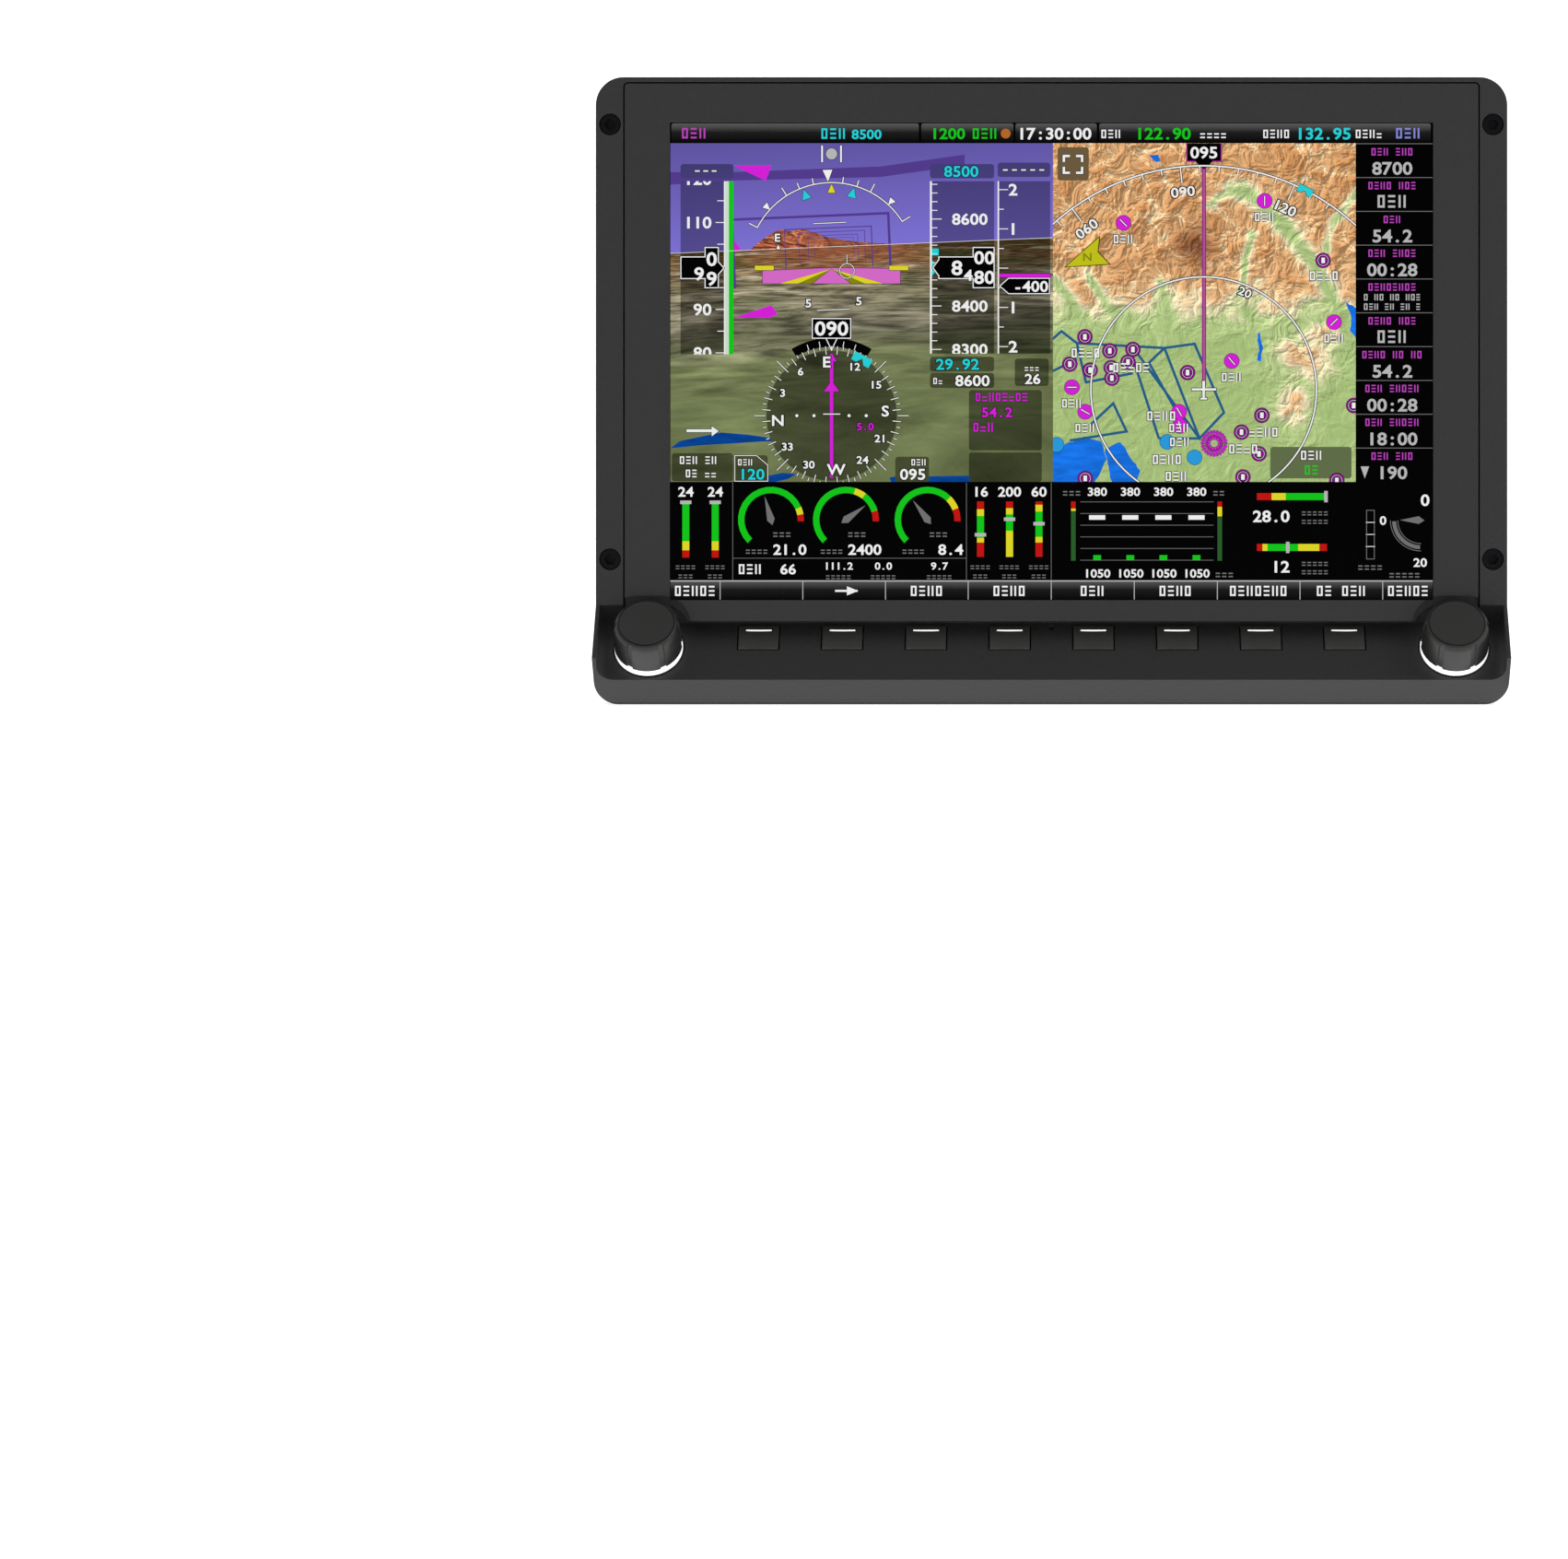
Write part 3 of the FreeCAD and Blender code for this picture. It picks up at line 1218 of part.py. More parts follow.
def d_connector(across, width):
    """Flange on the rear wall, hollow shell outside with its insulator, block inside."""
    up = number("dims.connector_z")
    wall = number("dims.housing_depth")
    flange_back = wall + number("dims.connector_flange")
    tip = wall + number("dims.connector_out")
    shell_width = width - 2 * number("dims.shell_side")
    shell_height = number("dims.shell_height")
    flange = upright_box(width, number("dims.connector_height"), wall, flange_back, across, up)
    for side in (-1, 1):
        screw_x = across + side * (width / 2 - number("dims.shell_side / 2"))
        hole = cylinder(number("dims.small_screw * 1.5"), V(screw_x, wall, up),
                        V(screw_x, flange_back, up))
        flange = flange.cut(hole)
    shell = d_shape(shell_width, shell_height, flange_back, tip, across, up)
    inside = 2 * number("dims.shell_wall")
    hollow = d_shape(shell_width - inside, shell_height - inside, flange_back, tip, across, up)
    gap = 2 * number("dims.insulator_gap")
    insulator = d_shape(shell_width - gap, shell_height - gap, flange_back,
                        tip - number("dims.insulator_sunk"), across, up)
    block = upright_box(shell_width, shell_height, wall - number("dims.connector_in"), wall,
                        across, up)
    return flange.fuse([shell.cut(hollow), insulator, block]).removeSplitter()


def make_connectors():
    connectors = {name: d_connector(number(across), number(width))
                  for name, across, width in connector_places()}
    shape_part("main_connector", connectors["main"])
    shape_part("aux_connectors", Part.makeCompound([connectors["aux_0"], connectors["aux_1"]]))


def socket_box(width, height, across, up, opening_width, opening_height):
    """A boxed socket through the rear wall, with an opening from outside."""
    wall = number("dims.housing_depth")
    front = wall - number("dims.socket_deep")
    back = wall + number("dims.socket_stand")
    outer = upright_box(width, height, front, back, across, up)
    opening = upright_box(opening_width, opening_height, front + number("dims.socket_floor"),
                          back, across, up)
    return outer.cut(opening)


def make_sockets():
    """Two stacked USB sockets and one network socket."""
    width = number("dims.usb_width")
    height = number("dims.usb_height")
    metal = 2 * number("dims.usb_wall")
    tongue_width = width - 2 * number("dims.usb_tongue_inset")
    tongue_front = number("dims.housing_depth - dims.socket_deep + dims.socket_floor - 0.5")
    tongue_back = number("dims.housing_depth - dims.usb_tongue_sunk")
    usb = []
    for step in (0, 1):
        up = number(f"dims.usb_z - {step} * dims.usb_pitch")
        across = number("dims.usb_x")
        shell = socket_box(width, height, across, up, width - metal, height - metal)
        tongue = upright_box(tongue_width, number("dims.usb_tongue_thick"), tongue_front,
                             tongue_back, across, up + number("dims.usb_tongue_up"))
        usb.append(shell.fuse(tongue))
    shape_part("usb_ports", Part.makeCompound(usb))
    network_width = number("dims.network_width")
    network_height = number("dims.network_height")
    jack = socket_box(network_width, network_height, number("dims.network_x"),
                      number("dims.usb_z - dims.usb_pitch / 2"),
                      number("dims.network_opening_width"),
                      number("dims.network_opening_height"))
    shape_part("network_jack", jack)


def make_antenna_jack():
    """Coaxial aerial socket: flange, barrel and centre contact."""
    radius = number("dims.antenna_radius")
    across = number("dims.antenna_x")
    up = number("dims.connector_z")
    wall = number("dims.housing_depth")

    def at(depth):
        return V(across, wall + depth, up)

    barrel = cylinder(radius * 0.75, at(-6), at(10))
    flange = cylinder(radius, at(0), at(1.6))
    hollow = cylinder(radius * 0.6, at(3), at(10))
    pin = cylinder(radius * 0.12, at(3), at(8.5))
    shape_part("antenna_jack", barrel.fuse(flange).cut(hollow).fuse(pin))


# ---------------------------------------------------------------- ribbons
def make_ribbon(name, path, width, across):
    """A flat cable that follows (back, up) points at one width."""
    thick = number("dims.ribbon_thick")
    sides = ([], [])
    for index, (back, up) in enumerate(path):
        before = path[max(index - 1, 0)]
        after = path[min(index + 1, len(path) - 1)]
        way = V(0, after[0] - before[0], after[1] - before[1]).normalize()
        normal = V(0, -way.z, way.y) * (thick / 2)
        middle = V(across - width / 2, back, up)
        sides[0].append(middle + normal)
        sides[1].append(middle - normal)
    outline = sides[0] + sides[1][::-1]
    face = Part.Face(Part.makePolygon(outline + outline[:1]))
    shape_part(name, face.extrude(V(width, 0, 0)))


def make_ribbons():
    board = number("dims.main_board_front")
    backlight = number(f"{LCD_BACK} + dims.backlight_thick")
    notch = number("dims.tray_notch")
    make_ribbon("control_ribbon",
                [(-4.1, -87.6), (-2.35, -85.6), (-2.25, -81.5), (-2.2, -76.4), (-1.0, -73.9),
                 (1.4, -72.2), (5.0, -70.2), (9.0, -65.0), (11.5, -58.5), (board - 0.15, -54.0)],
                number("dims.ribbon_slot_width - 6"), 0.0)
    make_ribbon("display_ribbon",
                [(backlight + 0.1, -66.0), (1.5, -66.0), (6.5, -64.0), (10.5, -59.0),
                 (board - 0.15, -52.5)],
                notch - 6, notch * 1.5)


# ---------------------------------------------------------------- fasteners
def socket_screw(head, shank, socket=0.0, socket_deep=0.0):
    """Cap screw along +Y, its head behind Y = 0; head and shank are (radius, length)."""
    shape = cylinder(head[0], V(0, -head[1], 0), V(0, 0, 0))
    shape = shape.fuse(cylinder(shank[0], V(0, 0, 0), V(0, shank[1], 0)))
    if socket:
        corner_radius = socket / math.sqrt(3)
        corners = [V(corner_radius * math.cos(step * math.pi / 3), -head[1],
                     corner_radius * math.sin(step * math.pi / 3)) for step in range(7)]
        recess = Part.Face(Part.makePolygon(corners)).extrude(V(0, socket_deep, 0))
        shape = shape.cut(recess)
    return shape.removeSplitter()


def placed(shape, where, axis=V(1, 0, 0), angle=0.0):
    """A turned and shifted copy."""
    copy = shape.copy()
    copy.rotate(V(0, 0, 0), axis, angle)
    copy.translate(where)
    return copy


def make_mounting_screws():
    """Captive cap screws: thin necks in the bezel, threads standing out of its back."""
    seat = number(FRONT) + number("dims.counterbore_deep")
    head = (number("dims.screw_head / 2"), number("dims.screw_head_tall"))
    neck = (number("dims.screw_neck / 2"), -seat)
    shape = socket_screw(head, neck, number("dims.screw_socket"),
                         number("dims.screw_socket_deep"))
    thread = cylinder(number("dims.screw_shank / 2"), V(0, -seat, 0),
                      V(0, number("dims.screw_reach") - seat, 0))
    shape = shape.fuse(thread)
    across = number("dims.screw_across / 2")
    up = number("dims.screw_up / 2")
    shape_part("mounting_screws", Part.makeCompound(
        [placed(shape, V(side * across, seat, turn * up))
         for side in (-1, 1) for turn in (-1, 1)]))


def small_screws(name, length, places, axis=V(1, 0, 0), angle=180.0):
    """A group of equal small screws; angle 180 points their shanks towards the front."""
    head = (number("dims.small_head"), number("dims.small_head_tall"))
    shape = socket_screw(head, (number("dims.small_screw"), length), head[0], head[1] * 0.6)
    shape_part(name, Part.makeCompound(
        [placed(shape, place, axis, angle) for place in places]))


def make_small_screws():
    board = number(BOARD_BACK)
    small_screws("board_screws", number("dims.main_board_thick * 4"),
                 [V(across, board, up) for across, up in STANDOFFS])
    cover_seat = -number("dims.small_head_tall")
    small_screws("cover_screws", number("dims.tapped_deep") - 1.5,
                 [V(across, cover_seat, up) for across, up in COVER_SCREWS])
    wall = number("dims.housing_depth")
    pitch = number("dims.fan_hole_pitch / 2")
    fan_x, fan_z = number("dims.fan_x"), number("dims.fan_z")
    small_screws("fan_screws", number("dims.housing_wall") + 8.0,
                 [V(fan_x + side * pitch, wall, fan_z + up * pitch)
                  for side in (-1, 1) for up in (-1, 1)])


def make_chassis_screws():
    """Equal screws: the tray to the bezel, and the housing to the tray's rims."""
    head = (number("dims.small_head"), number("dims.small_head_tall"))
    shank = (number("dims.small_screw"), number("dims.chassis_screw_long"))
    shape = socket_screw(head, shank, head[0], head[1] * 0.6)
    tray = number("dims.tray_thick")
    screws = [placed(shape, V(across, tray, up), angle=180.0) for across, up in CARRIER_SCREWS]
    depth = number("dims.tray_rim * 0.6")
    top = number("dims.housing_top_z")
    bottom = number("dims.housing_bottom_z")
    for across in SIDE_SCREW_X:
        screws.append(placed(shape, V(across, depth, top), angle=-90.0))
        screws.append(placed(shape, V(across, depth, bottom), angle=90.0))
    shape_part("chassis_screws", Part.makeCompound(screws))


def make_control_board_screws():
    """Screws through the control board into the bosses under the ledge."""
    head = (number("dims.small_head"), number("dims.small_head_tall"))
    shank = (number("dims.small_screw"), number("dims.control_screw_long"))
    shape = socket_screw(head, shank, head[0], head[1] * 0.6)
    tilt = number("dims.slope")
    back = number("dims.board_thick - dims.board_top")
    slope = math.radians(tilt)
    up = number("dims.boss_up")
    seat_y = number(LEDGE_Y) + up * math.sin(slope) + back * math.cos(slope)
    seat_z = number(LEDGE_Z) + up * math.cos(slope) - back * math.sin(slope)
    shape_part("control_board_screws", Part.makeCompound(
        [placed(shape, V(across, seat_y, seat_z), angle=180.0 - tilt)
         for across in CONTROL_SCREW_X]))


def make_standoffs():
    """Tapped posts pressed into the tray that carry the main board."""
    radius = number("dims.standoff_radius")
    hole = number("dims.small_screw")
    tray = number("dims.tray_thick")
    board = number("dims.main_board_front")
    post = cylinder(radius, V(0, tray, 0), V(0, board, 0))
    post = post.fuse(cylinder(hole, V(0, 0, 0), V(0, tray, 0)))
    thread_start = board - number("dims.post_thread")
    post = post.cut(cylinder(hole, V(0, thread_start, 0), V(0, board, 0)))
    shape_part("board_standoffs", Part.makeCompound(
        [placed(post, V(across, 0, up)) for across, up in STANDOFFS]))


def make_jackscrews():
    """Hexagonal locking posts at both ends of every D-shaped connector."""
    seat = number("dims.housing_depth + dims.connector_flange")
    length = number("dims.connector_out - dims.connector_flange")
    corner = number("dims.jack_screw_corner")
    tail = number("dims.jack_screw_tail")
    corners = [V(corner * math.cos(step * math.pi / 3), 0, corner * math.sin(step * math.pi / 3))
               for step in range(7)]
    post = Part.Face(Part.makePolygon(corners)).extrude(V(0, length, 0))
    post = post.fuse(cylinder(number("dims.small_screw * 1.5"), V(0, -tail, 0), V(0, 0, 0)))
    post = post.cut(cylinder(number("dims.small_screw"), V(0, length - tail, 0),
                             V(0, length, 0)))
    places = []
    for _, across, width in connector_places():
        reach = number(f"({width}) / 2 - dims.shell_side / 2")
        places += [V(number(across) + side * reach, seat, number("dims.connector_z"))
                   for side in (-1, 1)]
    shape_part("jackscrews", Part.makeCompound([placed(post, place) for place in places]))


# ---------------------------------------------------------------- the whole unit
def build():
    fill_sheet()
    make_bezel()
    make_display_panel()
    make_cover_glass()
    make_lcd_module()
    make_backlight_unit()
    make_display_carrier()
    make_rear_housing()
    make_lower_cover()
    for side_name, side in SIDES.items():
        across = f"{side} * dims.knob_spread / 2"
        make_joystick(side_name, across)
        make_knob(side_name, across)
        make_light_ring(side_name, across)
    for index in KEYS:
        make_key(index)
        make_marker(index)
    make_control_board()
    make_keypad_membrane()
    make_sensor_window()
    make_main_board()
    make_heat_sink()
    make_fan_frame()
    make_fan_rotor()
    make_connectors()
    make_sockets()
    make_antenna_jack()
    make_ribbons()
    make_mounting_screws()
    make_small_screws()
    make_chassis_screws()
    make_control_board_screws()
    make_standoffs()
    make_jackscrews()
    doc.recompute()


def check_model():
    """Stop before writing anything if an object or a sub-part's shape is bad."""
    for item in doc.Objects:
        if {"Invalid", "Error"} & set(item.State):
            raise RuntimeError(f"{item.Name}: {item.State}")
    for part in parts:
        if part.Shape.isNull() or not part.Shape.isValid():
            raise RuntimeError(f"{part.Label} has no valid shape")


def write_parts():
    os.makedirs("parts", exist_ok=True)
    for part in parts:
        part.Shape.exportStep(os.path.join("parts", f"{part.Label}.step"))


build()
check_model()
write_parts()
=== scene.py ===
"""Looks of a panel-mounted flight display: finishes for the CAD pieces, a lit picture on the
glass built from thin shapes, and a plain studio. Lengths on the screen are in millimetres,
counted across from its left edge and down from its top edge."""

import functools
import json
import math

import bmesh
import bpy
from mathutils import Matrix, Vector, noise


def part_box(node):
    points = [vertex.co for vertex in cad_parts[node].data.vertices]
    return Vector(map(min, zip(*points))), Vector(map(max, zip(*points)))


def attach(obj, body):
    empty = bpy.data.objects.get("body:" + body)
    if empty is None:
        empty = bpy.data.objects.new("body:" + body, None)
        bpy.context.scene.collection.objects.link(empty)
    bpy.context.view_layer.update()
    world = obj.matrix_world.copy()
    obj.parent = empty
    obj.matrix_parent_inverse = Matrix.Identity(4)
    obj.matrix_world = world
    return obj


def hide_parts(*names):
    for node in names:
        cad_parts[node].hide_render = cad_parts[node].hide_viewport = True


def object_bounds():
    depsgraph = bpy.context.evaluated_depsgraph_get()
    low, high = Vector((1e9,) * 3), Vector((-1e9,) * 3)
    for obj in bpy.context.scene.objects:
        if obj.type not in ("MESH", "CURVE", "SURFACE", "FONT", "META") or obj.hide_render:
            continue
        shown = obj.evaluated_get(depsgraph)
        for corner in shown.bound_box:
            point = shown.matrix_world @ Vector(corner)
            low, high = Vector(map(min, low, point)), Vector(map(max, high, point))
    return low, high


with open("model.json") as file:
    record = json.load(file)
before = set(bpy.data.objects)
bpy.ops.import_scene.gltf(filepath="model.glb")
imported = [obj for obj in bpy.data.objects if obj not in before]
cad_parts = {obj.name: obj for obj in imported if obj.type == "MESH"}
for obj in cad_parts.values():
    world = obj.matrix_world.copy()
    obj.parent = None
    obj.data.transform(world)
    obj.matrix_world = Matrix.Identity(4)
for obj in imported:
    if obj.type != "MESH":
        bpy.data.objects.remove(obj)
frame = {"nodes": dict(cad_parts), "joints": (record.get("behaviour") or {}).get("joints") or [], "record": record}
CAD_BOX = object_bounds()
MM = 0.001

# ------------------------------------------------------------------ material recipes
def tone(red, green, blue):
    """A screen colour, 0 to 255 a channel, as the linear colour that shaders take."""
    channels = []
    for value in (red, green, blue):
        share = value / 255
        channels.append(share / 12.92 if share < 0.04045 else ((share + 0.055) / 1.055) ** 2.4)
    return (*channels, 1.0)


def scaled(colour, factor):
    return (*(channel * factor for channel in colour[:3]), 1.0)


class Recipe:
    """One material's node tree, with a short call for each kind of node the finishes use."""

    def __init__(self, name):
        self.material = bpy.data.materials.new(name)
        self.material.use_nodes = True
        self.tree = self.material.node_tree
        self.shader = self.tree.nodes["Principled BSDF"]
        self.place = self.tree.nodes.new("ShaderNodeTexCoord").outputs["Object"]

    def plug(self, socket, value):
        """Feeds a socket from another node's output, or sets it to a plain value."""
        if isinstance(value, bpy.types.NodeSocket):
            self.tree.links.new(value, socket)
        else:
            socket.default_value = value

    def set(self, **inputs):
        for name, value in inputs.items():
            self.plug(self.shader.inputs[name.replace("_", " ")], value)
        return self.material

    def maths(self, operation, first, second=0.0):
        made = self.tree.nodes.new("ShaderNodeMath")
        made.operation = operation
        self.plug(made.inputs[0], first)
        self.plug(made.inputs[1], second)
        return made.outputs[0]

    def times(self, first, second):
        return self.maths("MULTIPLY", first, second)

    def plus(self, first, second):
        return self.maths("ADD", first, second)

    def minus(self, first, second):
        return self.maths("SUBTRACT", first, second)

    def vector_maths(self, operation, first, second):
        made = self.tree.nodes.new("ShaderNodeVectorMath")
        made.operation = operation
        self.plug(made.inputs[0], first)
        self.plug(made.inputs[1], second)
        return made.outputs

    def stretched(self, factors, place=None):
        return self.vector_maths("MULTIPLY", place or self.place, factors)[0]

    def axes(self):
        made = self.tree.nodes.new("ShaderNodeSeparateXYZ")
        self.plug(made.inputs[0], self.place)
        return made.outputs

    def mesh_value(self, name):
        """A number that the mesh keeps at each of its points."""
        made = self.tree.nodes.new("ShaderNodeAttribute")
        made.attribute_name = name
        return made.outputs["Fac"]

    def vector(self, x, y, z):
        made = self.tree.nodes.new("ShaderNodeCombineXYZ")
        for socket, value in zip(made.inputs, (x, y, z)):
            self.plug(socket, value)
        return made.outputs[0]

    def noise(self, grain, detail=3.0, rough=0.5, place=None, warp=0.0):
        """Cloudy values from 0 to 1 whose patches are about one grain wide."""
        made = self.tree.nodes.new("ShaderNodeTexNoise")
        self.plug(made.inputs["Vector"], place or self.place)
        self.plug(made.inputs["Scale"], 1 / grain)
        self.plug(made.inputs["Detail"], detail)
        self.plug(made.inputs["Roughness"], rough)
        self.plug(made.inputs["Distortion"], warp)
        return made.outputs[0]

    def cells(self, grain):
        made = self.tree.nodes.new("ShaderNodeTexVoronoi")
        self.plug(made.inputs["Vector"], self.place)
        self.plug(made.inputs["Scale"], 1 / grain)
        return made.outputs["Distance"]

    def stripes(self, pitch, direction="X", place=None):
        made = self.tree.nodes.new("ShaderNodeTexWave")
        made.bands_direction = direction
        self.plug(made.inputs["Vector"], place or self.place)
        self.plug(made.inputs["Scale"], math.pi / 10 / pitch)
        return made.outputs["Fac"]

    def ramp(self, value, stops):
        """Colours or greys along a value; stops are (position, colour) pairs."""
        made = self.tree.nodes.new("ShaderNodeValToRGB")
        self.plug(made.inputs[0], value)
        band = made.color_ramp.elements
        while len(band) < len(stops):
            band.new(0.5)
        for element, (position, colour) in zip(band, stops):
            element.position = position
            element.color = colour if isinstance(colour, tuple) else (colour,) * 3 + (1.0,)
        return made.outputs[0]

    def span(self, value, low, high, start=0.0, end=1.0):
        """Maps value from start..end onto low..high."""
        made = self.tree.nodes.new("ShaderNodeMapRange")
        for socket, number in zip(made.inputs, (value, start, end, low, high)):
            self.plug(socket, number)
        return made.outputs[0]

    def mix(self, share, first, second, how="MIX"):
        made = self.tree.nodes.new("ShaderNodeMix")
        made.data_type = "RGBA"
        made.blend_type = how
        self.plug(made.inputs[0], share)
        self.plug(made.inputs[6], first)
        self.plug(made.inputs[7], second)
        return made.outputs[2]

    def dimmed(self, colour, factor):
        """A colour times a number from another node."""
        return self.mix(1.0, colour, self.vector(factor, factor, factor), "MULTIPLY")

    def bump(self, height, depth, strength=1.0, rounding=0.0):
        made = self.tree.nodes.new("ShaderNodeBump")
        self.plug(made.inputs["Height"], height)
        made.inputs["Distance"].default_value = depth
        made.inputs["Strength"].default_value = strength
        if rounding:
            self.plug(made.inputs["Normal"], self.rounded(rounding))
        return made.outputs[0]

    def rounded(self, radius):
        made = self.tree.nodes.new("ShaderNodeBevel")
        made.samples = 4
        made.inputs["Radius"].default_value = radius
        return made.outputs[0]

    def edges(self, radius):
        """Nearly 1 on edges sharper than radius and 0 on flat faces."""
        flat = self.tree.nodes.new("ShaderNodeNewGeometry").outputs["Normal"]
        likeness = self.vector_maths("DOT_PRODUCT", self.rounded(radius), flat)["Value"]
        return self.span(likeness, 1.0, 0.0, 0.80, 0.995)


# ------------------------------------------------------------------ finishes of the pieces
def enamel(name, shade, grain, depth, rough, edge_wear_and_highlight):
    """Dark paint with a fine leathery texture, lighter on its edges: partly edge wear, partly a painted highlight.
    """
    recipe = Recipe(name)
    fleck = recipe.noise(grain, 4.0, 0.6)
    cloud = recipe.noise(45 * MM, 3.0)
    # Edges turn lighter: partly wear, partly a painted highlight.
    edge = recipe.times(recipe.edges(0.5 * MM), recipe.noise(4 * MM, 4.0))
    paint = recipe.mix(recipe.span(fleck, 0.0, 1.0, 0.35, 0.7),
                       scaled(shade, 0.86), scaled(shade, 1.14))
    paint = recipe.mix(recipe.span(cloud, 0.0, 0.35), paint, scaled(shade, 1.2))
    paint = recipe.mix(recipe.times(edge, edge_wear_and_highlight), paint, scaled(shade, 3.2))
    shine = recipe.plus(recipe.span(fleck, -0.08, 0.08), rough)
    relief = recipe.plus(fleck, recipe.cells(grain * 2.6))
    return recipe.set(Base_Color=paint, Roughness=shine, Specular_IOR_Level=0.32,
                      Normal=recipe.bump(relief, depth, 0.6, rounding=0.25 * MM))


def moulded(name, shade, rough, grain=0.35 * MM):
    """Satin moulded plastic: fine spark texture and faint flow clouds."""
    recipe = Recipe(name)
    spark = recipe.noise(grain, 3.0, 0.65)
    flow = recipe.noise(9 * MM, 4.0, 0.5, warp=0.6)
    colour = recipe.mix(recipe.span(flow, 0.0, 0.5), shade, scaled(shade, 1.3))
    # Lighter along sharp edges: partly wear, partly a painted highlight.
    colour = recipe.mix(recipe.times(recipe.edges(0.4 * MM), 0.35),
                        colour, scaled(shade, 2.4))
    shine = recipe.plus(recipe.span(spark, -0.06, 0.06), rough)
    return recipe.set(Base_Color=colour, Roughness=shine, Specular_IOR_Level=0.4,
                      Normal=recipe.bump(spark, 0.03 * MM, 0.5, rounding=0.2 * MM))


def metal(name, shade, rough, brushed, stain=0.25):
    """Bare or plated metal: drawn or tumbled grain, faint stains and rubbed edges."""
    recipe = Recipe(name)
    streak = recipe.noise(0.3 * MM, 4.0, 0.7, place=recipe.stretched(brushed))
    cloud = recipe.noise(18 * MM, 5.0, 0.6, warp=1.0)
    colour = recipe.mix(recipe.span(streak, 0.0, 1.0, 0.3, 0.7),
                        scaled(shade, 0.85), scaled(shade, 1.1))
    colour = recipe.mix(recipe.span(cloud, 0.0, stain, 0.4, 0.75), colour, scaled(shade, 0.6))
    colour = recipe.mix(recipe.times(recipe.edges(0.3 * MM), 0.5),
                        colour, scaled(shade, 1.35))
    shine = recipe.plus(recipe.span(streak, -0.1, 0.1), rough)
    return recipe.set(Base_Color=colour, Metallic=1.0, Roughness=shine,
                      Normal=recipe.bump(streak, 0.02 * MM, 0.5, rounding=0.15 * MM))


def board(name):
    """Solder mask over copper tracks, with rows of pads and a faint glass weave."""
    recipe = Recipe(name)
    x, _, z = recipe.axes()
    weave = recipe.times(recipe.stripes(0.8 * MM, "X"), recipe.stripes(0.8 * MM, "Z"))
    lanes = recipe.stripes(1.3 * MM, "Z", recipe.vector(0.0, 0.0, recipe.plus(
        z, recipe.span(recipe.cells(14 * MM), 0.0, 6 * MM))))
    track = recipe.span(lanes, 0.0, 1.0, 0.62, 0.7)
    pads = recipe.span(recipe.cells(2.2 * MM), 1.0, 0.0, 0.16, 0.2)
    mask = recipe.mix(recipe.span(weave, 0.0, 0.3), tone(14, 74, 44), tone(22, 92, 58))
    mask = recipe.mix(recipe.times(track, 0.55), mask, tone(46, 128, 78))
    colour = recipe.mix(pads, mask, tone(196, 176, 120))
    return recipe.set(Base_Color=colour, Metallic=recipe.times(pads, 0.9),
                      Roughness=recipe.span(pads, 0.38, 0.28),
                      Normal=recipe.bump(recipe.plus(track, pads), 0.05 * MM, 0.6))


def ribbon(name):
    """Amber film over parallel copper tracks."""
    recipe = Recipe(name)
    tracks = recipe.span(recipe.stripes(0.8 * MM, "X"), 0.0, 1.0, 0.4, 0.6)
    haze = recipe.noise(6 * MM, 3.0)
    film = recipe.mix(tracks, tone(118, 62, 14), tone(196, 118, 44))
    film = recipe.mix(recipe.span(haze, 0.0, 0.25), film, tone(222, 160, 84))
    return recipe.set(Base_Color=film, Roughness=recipe.span(haze, 0.22, 0.36),
                      Coat_Weight=0.5, Normal=recipe.bump(tracks, 0.05 * MM, 0.5))


def rubber(name, shade):
    recipe = Recipe(name)
    bloom = recipe.noise(5 * MM, 5.0, 0.6)
    grit = recipe.noise(0.25 * MM, 2.0)
    colour = recipe.mix(recipe.span(bloom, 0.0, 0.6), shade, scaled(shade, 1.5))
    return recipe.set(Base_Color=colour, Roughness=recipe.span(bloom, 0.72, 0.9),
                      Normal=recipe.bump(grit, 0.04 * MM, 0.5))


def light_plastic(name):
    """Milky plastic lit from inside, a little brighter where the lamps sit."""
    recipe = Recipe(name)
    milk = recipe.noise(2.5 * MM, 3.0)
    frost = recipe.noise(0.2 * MM, 2.0)
    glow = recipe.mix(recipe.span(milk, 0.0, 1.0), tone(244, 247, 250), tone(255, 255, 255))
    return recipe.set(Base_Color=tone(235, 237, 238), Emission_Color=glow,
                      Emission_Strength=recipe.span(milk, 0.6, 0.75),
                      Roughness=recipe.span(frost, 0.35, 0.5),
                      Normal=recipe.bump(frost, 0.02 * MM, 0.4))


def glass(name, shade):
    """Dark coated glass with faint wipe marks."""
    recipe = Recipe(name)
    wipe = recipe.noise(22 * MM, 6.0, 0.6, place=recipe.stretched((0.4, 1, 1)), warp=0.8)
    colour = recipe.mix(recipe.span(wipe, 0.0, 0.5), shade, scaled(shade, 1.8))
    return recipe.set(Base_Color=colour, Roughness=recipe.span(wipe, 0.06, 0.16),
                      Specular_IOR_Level=0.3, Coat_Weight=0.3)


